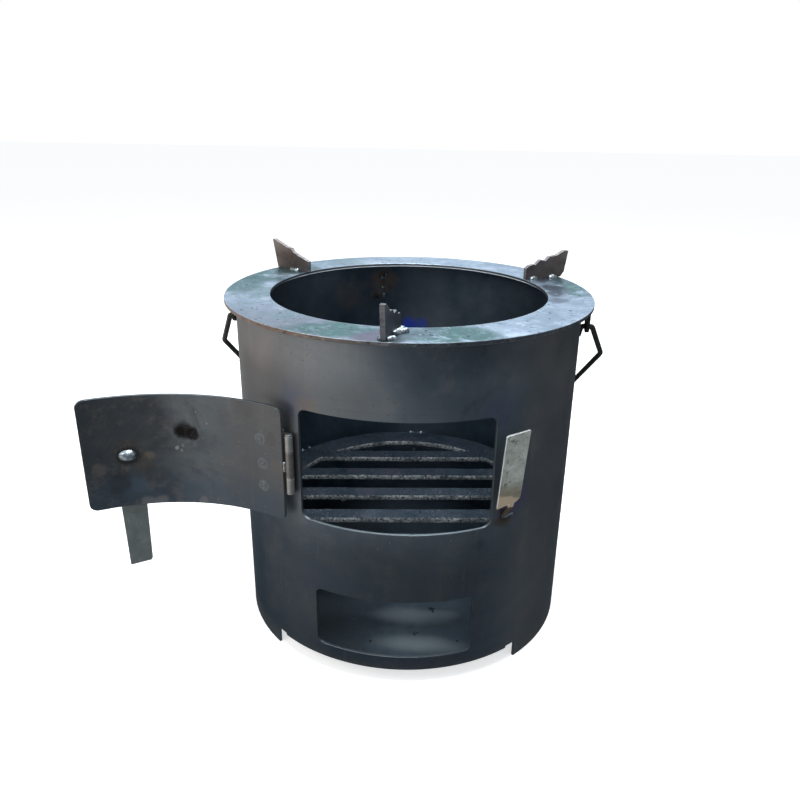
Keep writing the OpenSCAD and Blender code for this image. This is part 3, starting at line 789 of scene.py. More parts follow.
def door_marks(mat, base, _azimuth, _height):
    """Inner face: nearly black to the left, bluish along the bottom, grey by the hinge."""
    x, _, z = mat.xyz()
    inner = mat.attribute("h").step(0.5, to=0.2)
    cloud = mat.noise(scale=16, detail=5, rough=0.66, distort=0.7)
    mottle = mat.noise(scale=60, detail=6, rough=0.74)
    ragged_x = x + (cloud - 0.5) * 0.10
    base = base.paint(inner * ragged_x.step(-0.195, to=-0.265), (0.050, 0.058, 0.066),
                      share=0.72)
    base = base.paint(inner * ragged_x.step(-0.215, to=-0.15), (0.118, 0.122, 0.127), share=0.62)
    low = inner * (z + (cloud - 0.5) * 0.06).step(0.232, to=0.190)
    base = base.paint(low, (0.085, 0.120, 0.160), share=0.60)
    black = inner * cloud.step(0.47, to=0.36) * x.step(-0.16, to=-0.22)
    base = base.paint(black, (0.045, 0.052, 0.064), share=0.30)
    grey = inner * mottle.step(0.52, to=0.64) * x.step(-0.10, to=-0.20)
    base = base.paint(grey, (0.22, 0.20, 0.185), share=0.28)
    base = mat.spots(base, DOOR_STAINS, warp_scale=80, core=0.45, within=inner)
    # speckled burn ring round the rivet, then a dark disc close to it
    burn = mat.dist((-0.2755, -0.1500, 0.2365), warp=0.004, warp_scale=120)
    speckle = mat.noise(scale=300, detail=5, rough=0.8).step(0.54, to=0.62)
    base = base.paint(burn.step(0.024, to=0.010) * speckle * inner, (0.26, 0.22, 0.17),
                      share=0.75)
    disc = mat.dist((-0.2755, -0.1500, 0.2355), warp=0.001, warp_scale=120,
                    scale=(0.85, 0.85, 1.05))
    base = base.paint(disc.step(0.0122, to=0.0085) * 0.60 * inner, (0.022, 0.024, 0.028))
    # pale rings burnt through over each plug weld
    for point in PLUG_HALOS:
        away = mat.dist(point, warp=0.0011, warp_scale=150)
        base = base.paint(away.step(0.0068, to=0.0056), (0.195, 0.222, 0.24), share=0.80)
        base = base.paint(away.step(0.0030, to=0.0018), (0.11, 0.13, 0.145), share=0.45)
    # straight scratches, curved strokes and bright nicks
    cells = mat.coords.moved((0.031, 0, 0.017)).scaled(46, 46, 120)
    scratches = mat.voronoi(scale=1, vector=cells, feature="DISTANCE_TO_EDGE")
    scratches = (scratches.step(0.016, to=0.004)
                 * mat.noise(scale=13, detail=3).step(0.54, to=0.62) * inner)
    base = base.paint(scratches, (0.36, 0.35, 0.34), share=0.12)
    sweep = mat.dist((-0.16, -0.15, 0.15), warp=0.003, warp_scale=14) * 950
    arcs = (mat.math("SINE", sweep).step(0.99, to=0.9995)
            * mat.noise(scale=17, detail=3).step(0.57, to=0.63) * inner)
    base = base.paint(arcs, (0.34, 0.35, 0.36), share=0.16)
    nicks = (mat.voronoi(scale=70, vector=mat.coords.scaled(1, 1, 2.2)).step(0.08, to=0.03)
             * mat.noise(scale=10, detail=2).step(0.46, to=0.56) * inner)
    return base.paint(nicks, (0.42, 0.43, 0.43), share=0.7)


# ---------------------------------------------------------------- ring material
STAIN_Z = 0.382
# Teal heat patches: x, y, tightness in x, tightness in y, share.
RING_PATCHES = (
    (-0.163, -0.035, 1.3, 1.2, 0.50), (-0.197, 0.010, 1.1, 0.8, 0.80),
    (-0.175, 0.066, 1.3, 0.8, 0.95), (-0.155, 0.115, 1.2, 1.0, 0.55),
    (-0.057, -0.168, 0.8, 1.6, 0.90), (0.022, -0.172, 0.75, 1.5, 0.95),
    (0.050, -0.166, 0.9, 1.5, 0.90), (0.190, 0.034, 1.8, 0.75, 0.85),
    (0.172, 0.090, 1.6, 1.2, 0.45), (-0.100, 0.155, 1.0, 1.3, 0.35),
)
# Dark heat halos: place, radius, warp, share, colour.
RING_HALOS = (
    ((-0.0106, -0.185, STAIN_Z), 0.034, 0.016, 0.85, (0.085, 0.115, 0.14)),
    ((-0.026, -0.185, STAIN_Z), 0.022, 0.016, 0.75, (0.12, 0.10, 0.15)),
    (az(REAR_RIGHT_AZ, 0.178, STAIN_Z), 0.026, 0.016, 0.75, (0.12, 0.15, 0.20)),
    ((0.163, 0.030, STAIN_Z), 0.021, 0.016, 0.90, (0.050, 0.063, 0.095)),
    ((0.164, 0.004, STAIN_Z), 0.019, 0.016, 0.85, (0.060, 0.073, 0.11)),
    ((0.161, -0.028, STAIN_Z), 0.015, 0.016, 0.7, (0.08, 0.095, 0.13)),
    ((0.020, -0.166, STAIN_Z), 0.024, 0.016, 0.7, (0.075, 0.12, 0.15)),
    (az(REAR_LEFT_AZ, 0.175, STAIN_Z), 0.034, 0.016, 0.85, (0.085, 0.15, 0.15)),
    ((-0.128, 0.095, STAIN_Z), 0.018, 0.016, 0.6, (0.07, 0.10, 0.11)),
)


def ring_patches(mat, base, x, y):
    """Brownish front left, then teal heat patches with ragged borders."""
    front_left = y.step(-0.02, to=-0.17) * x.step(0.03, to=-0.09)
    base = base.paint(front_left, (0.125, 0.128, 0.155), share=0.72)
    ragged = mat.noise(scale=24, detail=6, rough=0.75, distort=0.5)
    for px, py, tight_x, tight_y, share in RING_PATCHES:
        away = mat.dist((px, py, STAIN_Z), warp=0.022, warp_scale=42,
                        scale=(tight_x, tight_y, 1))
        outer = away.step(0.048, to=0.026) * ragged.step(0.36, to=0.50)
        base = base.paint(outer, (0.050, 0.125, 0.125), share=min(1.0, share * 1.1))
        speckle = mat.noise(scale=60, detail=5, rough=0.75).step(0.50, to=0.62)
        base = base.paint(away.step(0.036, to=0.010) * speckle, (0.15, 0.31, 0.285),
                          share=share * 0.62)
    teal = (mat.noise(scale=15, detail=5, rough=0.7, distort=0.4).step(0.54, to=0.64)
            * y.step(0.10, to=-0.10))
    base = base.paint(teal, (0.115, 0.235, 0.24), share=0.62)
    return mat.spots(base, RING_HALOS, warp_scale=48, core=0.5)


def ring_material():
    mat = Mat("ring_sheet")
    x, y, _ = mat.xyz()
    big = mat.noise(scale=8, detail=5, rough=0.62, distort=0.8)
    mid = mat.noise(scale=46, detail=6, rough=0.72)
    streak = mat.noise(scale=1, detail=6, rough=0.7, vector=mat.coords.scaled(30, 260, 30))
    fine = mat.noise(scale=800, detail=4, rough=0.6)
    base = big.ramp((0.32, (0.20, 0.27, 0.34)), (0.5, (0.31, 0.385, 0.475)),
                    (0.7, (0.41, 0.48, 0.56)))
    base = base.paint(mid.step(0.50, to=0.66), (0.56, 0.64, 0.72), share=0.45)
    base = base.paint(mid.step(0.46, to=0.34), (0.20, 0.26, 0.32), share=0.30)
    base = ring_patches(mat, base, x, y)
    # pits, dark specks and bright nicks
    pits = mat.voronoi(scale=150) + (mat.noise(scale=95, detail=4, rough=0.7) - 0.5) * 1.1
    pits = pits.step(0.16, to=0.06) * mat.noise(scale=19, detail=4, rough=0.6).step(0.42, to=0.50)
    base = base.paint(pits, (0.035, 0.045, 0.05), share=0.85)
    specks = (mat.noise(scale=150, detail=6, rough=0.8).step(0.56, to=0.61)
              * mat.noise(scale=13, detail=3).step(0.44, to=0.52))
    base = base.paint(specks, (0.055, 0.075, 0.085), share=0.75)
    shifted = mat.coords.moved((0.2, 0.5, 0))
    nicks = (mat.noise(scale=210, detail=5, rough=0.8, vector=shifted).step(0.60, to=0.66)
             * mat.noise(scale=16, detail=3).step(0.46, to=0.56))
    base = base.paint(nicks, (0.80, 0.88, 0.92), share=0.6)
    # rim: darker cut edge, brownish to the left
    wall = mat.edge.step(0.85, to=0.99)
    rim = mat.mix(x.step(0.02, to=-0.12), (0.10, 0.12, 0.14), (0.22, 0.165, 0.14))
    rim = rim.paint(mat.noise(scale=130, detail=5, rough=0.75).step(0.5, to=0.64),
                    (0.34, 0.33, 0.33), share=0.5)
    rim = rim.paint(mat.noise(scale=90, detail=5, rough=0.75).step(0.46, to=0.36),
                    (0.04, 0.045, 0.05), share=0.6)
    radius = mat.math("SQRT", x * x + y * y)
    bore = radius.step(0.160, to=0.157)
    rim = rim.paint(bore, (0.14, 0.16, 0.18))
    # painted highlight: a bright, less metallic line along the bore's lower lip, at the back
    height = mat.attribute("h")
    lip_highlight = bore * height.step(0.42, to=0.20) * wall * y.step(0.02, to=0.09)
    rim = rim.paint(lip_highlight, (0.85, 0.92, 1.0))
    base = base.paint(wall, rim)
    worn = ((mat.edge.step(0.25, to=0.7) * (1.0 - wall))
            * mat.noise(scale=140, detail=4).ramp((0.35, 0.2), (0.6, 1.0)))
    base = base.paint(worn, (0.62, 0.68, 0.72), share=0.45)
    base = base.paint(height.step(0.1, to=0.0) * (1.0 - wall), (0.16, 0.18, 0.19))
    rough = mat.mix_value(pits, mid.gain(0.30, plus=0.22), 0.75)
    rough = mat.mix_value(wall, rough, 0.5)
    bumps = ((fine, 0.12, 0.0002), (streak, 0.15, 0.0003), (mid, 0.30, 0.0006),
             (big, 0.4, 0.003), (1.0 - pits, 0.6, 0.0005), (1.0 - specks, 0.5, 0.0003))
    # the painted lip highlight is made less metallic so that it shows pale
    return mat.finish(base, rough, metal=lip_highlight.gain(-0.9, plus=0.92), bumps=bumps)


# ---------------------------------------------------------------- other materials
def weld_material(name="weld_metal", bright=1.0):
    mat = Mat(name)
    mid = mat.noise(scale=150, detail=5, rough=0.7)
    fine = mat.noise(scale=520, detail=4, rough=0.6)
    stops = ((0.30, (0.10, 0.11, 0.12)), (0.48, (0.30, 0.34, 0.37)), (0.66, (0.66, 0.76, 0.82)))
    base = mid.ramp(*((at, tuple(c * bright for c in color)) for at, color in stops))
    heat = mat.noise(scale=70, detail=4, rough=0.6)
    base = base.paint(heat.step(0.52, to=0.66), (0.30, 0.42, 0.42), share=0.45)
    base = base.paint(heat.step(0.42, to=0.30), (0.26, 0.16, 0.09), share=0.6)
    slag = mat.voronoi(scale=330).step(0.20, to=0.1)
    base = base.paint(slag, (0.03, 0.03, 0.03), share=0.6)
    return mat.finish(base, mid.gain(0.35, plus=0.16), metal=0.95,
                      bumps=((fine, 0.35, 0.0003), (mid, 0.4, 0.0006)))


def plug_material():
    mat = Mat("plug_mark")
    mid = mat.noise(scale=220, detail=5, rough=0.7)
    base = mid.ramp((0.35, (0.15, 0.175, 0.19)), (0.6, (0.20, 0.225, 0.24)))
    fine = mat.noise(scale=600, detail=4)
    return mat.finish(base, mid.gain(0.3, plus=0.34), metal=0.9,
                      bumps=((fine, 0.3, 0.0002), (mid, 0.3, 0.0004)))


def support_material():
    """Torch-cut plate: brown-black, pale on its worn edges, bluer on the front support."""
    mat = Mat("support_plate")
    big = mat.noise(scale=26, detail=5, rough=0.65)
    mid = mat.noise(scale=110, detail=6, rough=0.7)
    drag = mat.noise(scale=1, detail=4, rough=0.6, vector=mat.coords.scaled(700, 700, 60))
    base = big.ramp((0.32, (0.075, 0.062, 0.060)), (0.5, (0.115, 0.097, 0.092)),
                    (0.7, (0.16, 0.148, 0.145)))
    base = base.paint(mid.step(0.52, to=0.7), (0.24, 0.21, 0.195), share=0.5)
    base = base.paint(mid.step(0.42, to=0.3), (0.035, 0.03, 0.035), share=0.6)
    worn = (mat.edge.step(0.3, to=0.95)
            * mat.noise(scale=190, detail=4, rough=0.7).ramp((0.32, 0.15), (0.6, 1.0)))
    worn = worn * mat.mix_value(mat.xyz()[1].step(-0.10, to=-0.14), 1.0, 0.35)
    base = base.paint(worn, (0.42, 0.41, 0.42), share=0.75)
    violet = mat.noise(scale=40, detail=3).step(0.52, to=0.66)
    base = base.paint(violet, (0.12, 0.10, 0.17), share=0.35)
    base = base.paint(mat.xyz()[2].step(0.398, to=0.414), (0.29, 0.25, 0.24), share=0.45)
    base = base.paint(mat.xyz()[1].step(-0.10, to=-0.14), (0.085, 0.12, 0.165), share=0.45)
    return mat.finish(base, mid.gain(0.3, plus=0.36), metal=0.75, tint=(0.5, 0.5, 0.5),
                      bumps=((drag, 0.3, 0.0005), (mid, 0.3, 0.0005), (big, 0.3, 0.0015)))


def grate_material():
    """Blue-black plate; its cut walls carry a painted highlight of near-white speckle."""
    mat = Mat("grate_plate")
    big = mat.noise(scale=17, detail=5, rough=0.65)
    mid = mat.noise(scale=80, detail=6, rough=0.72)
    fine = mat.noise(scale=480, detail=5, rough=0.65)
    base = big.ramp((0.32, (0.040, 0.062, 0.086)), (0.52, (0.070, 0.095, 0.122)),
                    (0.7, (0.095, 0.112, 0.145)))
    pocks = (mat.noise(scale=300, detail=5, rough=0.8).step(0.53, to=0.60)
             * mat.noise(scale=24, detail=3).step(0.36, to=0.50))
    base = base.paint(pocks, (0.02, 0.028, 0.04), share=0.8)
    shifted = mat.coords.moved((0.4, 0.2, 0))
    light = (mat.noise(scale=330, detail=5, rough=0.8, vector=shifted).step(0.56, to=0.63)
             * mat.noise(scale=20, detail=3).step(0.40, to=0.52))
    base = base.paint(light, (0.40, 0.46, 0.52), share=0.6)
    base = base.paint(mid.step(0.53, to=0.7), (0.14, 0.165, 0.19), share=0.35)
    violet = mat.noise(scale=31, detail=4).step(0.54, to=0.66)
    base = base.paint(violet, (0.12, 0.10, 0.15), share=0.45)
    ash = mat.noise(scale=55, detail=6, rough=0.75).step(0.55, to=0.68)
    base = base.paint(ash, (0.26, 0.27, 0.27), share=0.25)
    # painted highlight: near-white speckle on the cut walls, brighter towards the top and in
    # patches
    wall = mat.edge.step(0.45, to=0.95)
    speckle = mat.noise(scale=360, detail=5, rough=0.85).ramp((0.43, 0.0), (0.56, 1.0))
    lit_upper = mat.attribute("h").step(0.25, to=0.85)
    lumps = mat.noise(scale=38, detail=4, rough=0.6).step(0.36, to=0.60)
    bright = speckle * (lit_upper.gain(0.6, plus=0.4) * lumps.gain(0.65, plus=0.35))
    base = base.paint(wall, mat.mix(bright, (0.05, 0.065, 0.08), (0.95, 1.0, 1.0)))
    metal = mat.mix_value(wall, 0.85, 0.15)
    rough = mat.mix_value(wall, mid.gain(0.3, plus=0.34), fine.gain(0.3, plus=0.22))
    bumps = ((fine, 0.5, 0.0005), (mid, 0.4, 0.0008), (big, 0.3, 0.002),
             (1.0 - pocks, 0.7, 0.0006))
    return mat.finish(base, rough, metal, bumps, tint=(0.4, 0.45, 0.5))


# Painted reflections on the ash floor, pale soft bands: place, scale, radius, share.
FLOOR_REFLECTIONS = (
    ((0.016, -0.104, 0.021), (0.55, 1.7, 1), 0.034, 0.85),
    ((0.028, -0.151, 0.021), (0.50, 1.9, 1), 0.034, 0.90),
    ((0.055, -0.098, 0.021), (0.8, 1.6, 1), 0.02, 0.4),
)
# Black crumbs on it: place, radius.
FLOOR_CRUMBS = (
    ((0.039, -0.089, 0.021), 0.0040), ((0.0405, -0.0935, 0.021), 0.0022),
    ((0.021, -0.135, 0.021), 0.0026), ((0.024, -0.1335, 0.021), 0.0018),
    ((-0.027, -0.151, 0.021), 0.0020), ((0.069, -0.143, 0.021), 0.0018),
)


def ash_floor_material():
    mat = Mat("ash_floor_sheet")
    x = mat.xyz()[0]
    big = mat.noise(scale=13, detail=5, rough=0.6, distort=0.5)
    mid = mat.noise(scale=60, detail=6, rough=0.7)
    base = big.ramp((0.34, (0.036, 0.055, 0.074)), (0.52, (0.056, 0.080, 0.103)),
                    (0.68, (0.076, 0.102, 0.126)))
    # the left side is darker
    darker = base.paint(0.75, (0.030, 0.040, 0.048))
    base = darker.paint(x.step(-0.075, to=0.01), base)
    # painted reflections: soft pale bands across the floor
    for point, scale, radius, share in FLOOR_REFLECTIONS:
        away = mat.dist(point, warp=0.006, warp_scale=26, scale=scale)
        base = base.paint(away.step(radius, to=0.004), (0.20, 0.245, 0.265), share=share)
    dust = mat.noise(scale=150, detail=6, rough=0.8).step(0.55, to=0.68)
    base = base.paint(dust, (0.26, 0.26, 0.25), share=0.14)
    crumbs = [(point, radius, 0.003, 0.95, (0.008, 0.009, 0.011))
              for point, radius in FLOOR_CRUMBS]
    base = mat.spots(base, crumbs, warp_scale=190, core=0.6)
    return mat.finish(base, mid.gain(0.2, plus=0.34), metal=0.6,
                      bumps=((dust, 0.15, 0.0004), (mid, 0.2, 0.0005), (big, 0.3, 0.002)))


def hinge_material():
    mat = Mat("hinge_steel")
    z = mat.xyz()[2]
    mid = mat.noise(scale=120, detail=6, rough=0.7)
    turned = mat.noise(scale=1, detail=3, rough=0.6, vector=mat.coords.scaled(30, 30, 1500))
    base = mid.ramp((0.35, (0.18, 0.165, 0.155)), (0.6, (0.30, 0.295, 0.285)))
    # painted highlight: brighter close to the pin, at both ends of the barrel
    ends = z.step(0.2270, to=0.2262) + z.step(0.2560, to=0.2568)
    near = mat.dist((-0.10533, -0.164697, 0.0), warp=0.0, scale=(1, 1, 0))
    base = base.paint(ends * near.step(0.0065, to=0.0052), (0.55, 0.56, 0.55), share=0.45)
    stain = mat.noise(scale=60, detail=4).step(0.52, to=0.66)
    base = base.paint(stain, (0.17, 0.13, 0.11), share=0.35)
    base = base.paint(mat.edge, (0.65, 0.66, 0.66), share=0.5)
    return mat.finish(base, mid.gain(0.3, plus=0.28), metal=0.9,
                      bumps=((turned, 0.15, 0.0002), (mid, 0.3, 0.0004)))


def keeper_material():
    """Galvanised strip: spangled grey, browned by heat low down."""
    mat = Mat("galvanised_strip")
    spangle = mat.voronoi(scale=190)
    mid = mat.noise(scale=70, detail=6, rough=0.72)
    fine = mat.noise(scale=420, detail=4, rough=0.65)
    z = mat.xyz()[2]
    base = mid.ramp((0.30, (0.155, 0.175, 0.16)), (0.5, (0.215, 0.235, 0.215)),
                    (0.68, (0.30, 0.325, 0.30)))
    base = base.paint(spangle.step(0.25, to=0.5), (0.36, 0.39, 0.37), share=0.22)
    dark = mat.noise(scale=120, detail=5, rough=0.8).step(0.565, to=0.62)
    base = base.paint(dark, (0.045, 0.055, 0.05), share=0.8)
    shifted = mat.coords.moved((0.3, 0.1, 0))
    pale = mat.noise(scale=60, detail=5, rough=0.75, vector=shifted).step(0.52, to=0.62)
    base = base.paint(pale, (0.38, 0.40, 0.37), share=0.45)
    spot = mat.dist((0.1068, -0.1711, 0.264), warp=0.002, warp_scale=200, scale=(1, 1, 1.6))
    base = base.paint(spot.step(0.0036, to=0.0018), (0.03, 0.035, 0.035), share=0.85)
    # heat: brown-gold low down, cream lower still; painted shade darkens the leg
    ragged_z = z + (mat.noise(scale=45, detail=4) - 0.5) * 0.012
    base = base.paint(ragged_z.step(0.240, to=0.224), (0.125, 0.105, 0.065), share=0.78)
    slanted = ragged_z + mat.xyz()[0] * 0.25
    base = base.paint(slanted.step(0.2505, to=0.2475), (0.33, 0.265, 0.185), share=0.90)
    # painted shade: the bent leg, which faces down, painted nearly black
    base = base.paint(z.step(0.2085, to=0.2065), (0.055, 0.035, 0.025), share=0.95)
    worn = (mat.edge.step(0.35, to=0.9)
            * mat.noise(scale=170, detail=3).ramp((0.3, 0.55), (0.6, 1.0)))
    base = base.paint(worn * z.step(0.208, to=0.212), (0.62, 0.64, 0.63))
    return mat.finish(base, mid.gain(0.3, plus=0.36), metal=0.35,
                      bumps=((fine, 0.25, 0.0003), (mid, 0.35, 0.0006), (spangle, 0.1, 0.0004)))


def bar_material():
    mat = Mat("latch_strip")
    mid = mat.noise(scale=80, detail=6, rough=0.72)
    grain = mat.noise(scale=1, detail=5, rough=0.65, vector=mat.coords.scaled(300, 300, 14))
    z = mat.xyz()[2]
    base = mid.ramp((0.30, (0.070, 0.084, 0.084)), (0.52, (0.092, 0.110, 0.109)),
                    (0.74, (0.125, 0.145, 0.146)))
    specks = mat.voronoi(scale=240).step(0.2, to=0.08) * z.step(0.165, to=0.180)
    base = base.paint(specks, (0.04, 0.045, 0.045), share=0.75)
    dark = mat.noise(scale=130, detail=5, rough=0.75).step(0.60, to=0.68)
    base = base.paint(dark, (0.04, 0.05, 0.045), share=0.55)
    base = base.paint(grain.step(0.55, to=0.7), (0.26, 0.28, 0.275), share=0.3)
    worn = (mat.edge.step(0.35, to=0.9)
            * mat.noise(scale=170, detail=3).ramp((0.3, 0.35), (0.6, 1.0)))
    base = base.paint(worn, (0.48, 0.50, 0.49))
    return mat.finish(base, mid.gain(0.28, plus=0.34), metal=0.4,
                      bumps=((grain, 0.15, 0.0003), (mid, 0.3, 0.0005)))


def rivet_material():
    mat = Mat("rivet_steel")
    mid = mat.noise(scale=130, detail=5, rough=0.7)
    fine = mat.noise(scale=700, detail=4, rough=0.6)
    base = mid.ramp((0.32, (0.16, 0.21, 0.25)), (0.5, (0.32, 0.39, 0.44)),
                    (0.7, (0.62, 0.70, 0.75)))
    specks = mat.noise(scale=240, detail=4).step(0.60, to=0.68)
    base = base.paint(specks, (0.10, 0.09, 0.08), share=0.6)
    return mat.finish(base, mid.gain(0.30, plus=0.16), metal=0.95,
                      bumps=((fine, 0.2, 0.0002), (mid, 0.35, 0.0005)))


def rod_material():
    """Black rod with rubbed patches and specks of rust."""
    mat = Mat("rod_steel")
    mid = mat.noise(scale=90, detail=6, rough=0.7)
    fine = mat.noise(scale=600, detail=4, rough=0.65)
    base = mid.ramp((0.35, (0.007, 0.0075, 0.008)), (0.62, (0.022, 0.022, 0.022)))
    rubbed = mat.noise(scale=36, detail=5, rough=0.7).step(0.56, to=0.68)
    base = base.paint(rubbed, (0.09, 0.085, 0.08), share=0.35)
    rust = mat.noise(scale=150, detail=5, rough=0.7).step(0.60, to=0.70)
    base = base.paint(rust, (0.07, 0.04, 0.025), share=0.4)
    return mat.finish(base, mid.gain(0.3, plus=0.40), metal=0.35,
                      bumps=((fine, 0.25, 0.0003), (mid, 0.3, 0.0005)))


SHELL_SHEET = sheet_material("shell_sheet", marks=shell_marks)
DOOR_SHEET = sheet_material("door_sheet", low=(0.14, 0.172, 0.20), high=(0.215, 0.24, 0.26),
                            marks=door_marks)
TAB_SHEET = sheet_material("tab_sheet")
RING_SHEET = ring_material()
WELD = weld_material()
BURNT_WELD = weld_material("burnt_weld", bright=0.30)
PLUG = plug_material()
SUPPORT_PLATE = support_material()
GRATE_PLATE = grate_material()
ASH_FLOOR = ash_floor_material()
HINGE_STEEL = hinge_material()
KEEPER_STRIP = keeper_material()
BAR_STRIP = bar_material()
RIVET_STEEL = rivet_material()
ROD_STEEL = rod_material()


# ---------------------------------------------------------------- shell, ring and floor
FIRE_AZ, FIRE_Z0, FIRE_Z1, FIRE_CORNER = 30.1, 0.1825, 0.3015, 0.008
ASH_AZ, ASH_Z0, ASH_Z1, ASH_CORNER = 25.5, 0.0343, 0.1028, 0.0065


def shell():
    def on_shell(run, z, h):
        a = run / SHELL_RO
        r = SHELL_RI + h
        return (r * math.sin(a), -r * math.cos(a), z)

    def opening(half_az, z0, z1, corner):
        half = SHELL_RO * math.sin(rad(half_az))
        return round_rect(-half, z0, half, z1, corner, SHELL_RO)

    gap = 0.00002                           # at each side of the seam
    start = (rad(SEAM_AZ - 360) + gap / SHELL_RO) * SHELL_RO
    end = (rad(SEAM_AZ) - gap / SHELL_RO) * SHELL_RO
    # the foot is cut away across the front, a little less high in the middle
    wide, narrow = rad(44.2) * SHELL_RO, rad(40.0) * SHELL_RO
    outer = [(start, 0), (-wide, 0), (-wide, 0.019), (-wide + 0.001, 0.020),
             (-narrow - 0.001, 0.0200), (-narrow, 0.0175), (narrow, 0.0175),
             (narrow + 0.001, 0.0200), (wide - 0.001, 0.020), (wide, 0.019), (wide, 0),
             (end, 0), (end, RING_Z0), (start, RING_Z0)]
    fire = opening(FIRE_AZ, FIRE_Z0, FIRE_Z1, FIRE_CORNER)
    ash = opening(ASH_AZ, ASH_Z0, ASH_Z1, ASH_CORNER)
    ob = plate("shell_sheet", [outer, fire, ash], SHELL_T, on_shell, step=0.002, grid=0.0065,
               bevel=0.00035, rough=0.00012, rough_freq=420, wave=0.00022, wave_freq=11,
               seed=1.7, rim=0.0012)
    place(ob, SHELL_SHEET, "stove_body", "body_shell")


def ring():
    ob = plate("ring_sheet", [circle(RING_HI.x, 420), circle(RING_RI, 320)],
               RING_Z1 - RING_Z0, lambda x, y, h: (x, y, RING_Z0 + h), step=0.003, grid=0.006,
               bevel=0.00045, rough=0.00016, rough_freq=300, rows=3, wave=0.00010,
               wave_freq=13, seed=4.2, rim=0.0014)
    place(ob, RING_SHEET, "stove_body", "top_ring")


def ash_floor():
    low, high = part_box("floor_plate")
    ob = plate("ash_floor_sheet", [circle(high.x, 380)], high.z - low.z,
               lambda x, y, h: (x, y, low.z + h), step=0.0032, grid=0.007, bevel=0.0003,
               rough=0.0001, rows=1, wave=0.0003, wave_freq=12, seed=8.8)
    place(ob, ASH_FLOOR, "stove_body", "floor_plate")


# ---------------------------------------------------------------- grate
SLOT_R = 0.144                              # the slots end on this circle
GRATE_PITCH, GRATE_BAR, GRATE_OFFSET = 0.0533, 0.020, -0.005
GRATE_TURN = 5.2


def grate_slot(y0, y1):
    """Slot between two bars, its ends on the slot circle."""
    count, close = 40, 2e-4
    points = []
    for side, start, end in ((1, y0, y1), (-1, y1, y0)):
        for i in range(count + 1):
            y = start + (end - start) * i / count
            points.append((side * math.sqrt(max(0, SLOT_R * SLOT_R - y * y)), y))

    def apart(a, b):
        return abs(a[0] - b[0]) + abs(a[1] - b[1])
    clean = []
    for p in points:
        if not clean or apart(p, clean[-1]) > close:
            clean.append(p)
    if apart(clean[0], clean[-1]) < close:
        clean.pop()
    return clean


def grate():
    low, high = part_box("fire_grate")
    c, s = math.cos(rad(GRATE_TURN)), math.sin(rad(GRATE_TURN))
    bars = [GRATE_OFFSET + k * GRATE_PITCH for k in range(-2, 3)]
    starts = [-SLOT_R] + [bar + GRATE_BAR / 2 for bar in bars]
    ends = [bar - GRATE_BAR / 2 for bar in bars] + [SLOT_R]
    slots = [grate_slot(y0, y1) for y0, y1 in zip(starts, ends)]

    def tear(x, y, u):
        # drag lines and slag notches left by the torch
        depth = 0.00035 * abs(noise.noise(Vector((x * 900, y * 900, 5.0 + u * 0.4))))
        notch = max(0.0, noise.noise(Vector((x * 120, y * 120, 9.0))) - 0.30)
        return depth + 0.0009 * notch * (1.2 - u)
    ob = plate("grate_plate", [circle(high.x, 360)] + slots, high.z - low.z,
               lambda x, y, h: (x * c - y * s, x * s + y * c, low.z + h), step=0.0011,
               grid=0.006, bevel=0.0004, rough=0.00045, rough_freq=380, rows=6, wave=0.0003,
               wave_freq=18, seed=2.9, rim=0.0013, tear=tear)
    place(ob, GRATE_PLATE, "stove_body", "fire_grate")


# ---------------------------------------------------------------- pot supports
def front_at(x, y, z):
    """Local point of the front support, measured inward from its outer end."""
    c, s = math.cos(rad(FRONT_TURN)), math.sin(rad(FRONT_TURN))
    return Vector((FRONT_X + x * c - y * s, FRONT_Y + x * s + y * c, z))


rear_right_at = partial(at_az, REAR_RIGHT_AZ)
rear_left_at = partial(at_az, REAR_LEFT_AZ)

# Profiles in mm: distance outward, height above the ring.
IN_X, TIP_X, TIP_Z = 153, 213, 32           # rear right: inner end and tip
REAR_RIGHT_PROFILE = [
    (IN_X, 0), (IN_X, 13.5), (IN_X + 4.5, 16.8), (IN_X + 10.5, 18), (IN_X + 13, 17.2),
    (IN_X + 20, 23.2), (IN_X + 27, 21.2), (IN_X + 32.5, 25.8), (IN_X + 43, 26.8),
    (TIP_X - 6, TIP_Z), (TIP_X, TIP_Z - 0.6), (TIP_X - 4, 6.5), (TIP_X - 9, 0)]
REAR_LEFT_PROFILE = [
    (150, 0), (150, 13), (156, 15.3), (166.5, 18.8), (171, 20.3), (176, 23), (178.8, 26.2),
    (186, 27.4), (196, 31), (207, 35), (209.8, 34.6), (202.3, 0)]
FRONT_PROFILE = [
    (-46, 0), (-46, 13), (-42, 16), (-38, 15.4), (-31, 21), (-25, 19.4), (-18.5, 24.6),
    (-13, 23.8), (-5, 31.5), (-1.5, 33.6), (3, 33.2), (1.6, 6), (0, 0)]


def torn(profile, seed):
    """Adds short random teeth along the torch-cut top; the edge on the ring stays straight."""
    out = []
    n = len(profile)
    cx, cy = sum(p[0] for p in profile) / n, sum(p[1] for p in profile) / n
    for i in range(n):
        a, b = profile[i], profile[(i + 1) % n]
        length = math.hypot(b[0] - a[0], b[1] - a[1])
        out.append(a)
        if min(a[1], b[1]) <= 1 or length <= 2:
            continue
        nx, ny = (b[1] - a[1]) / length, -(b[0] - a[0]) / length
        count = int(length / 1.3)
        for j in range(1, count):
            t = j / count
            x, y = a[0] + (b[0] - a[0]) * t, a[1] + (b[1] - a[1]) * t
            side = 1 if (cx - x) * nx + (cy - y) * ny > 0 else -1
            depth = noise.noise(Vector((i * 3.1 + j * 0.9, seed, 0))) * 0.35
            depth = abs(depth) * side * 1.6
            out.append((x + nx * depth, y + ny * depth))
    return out


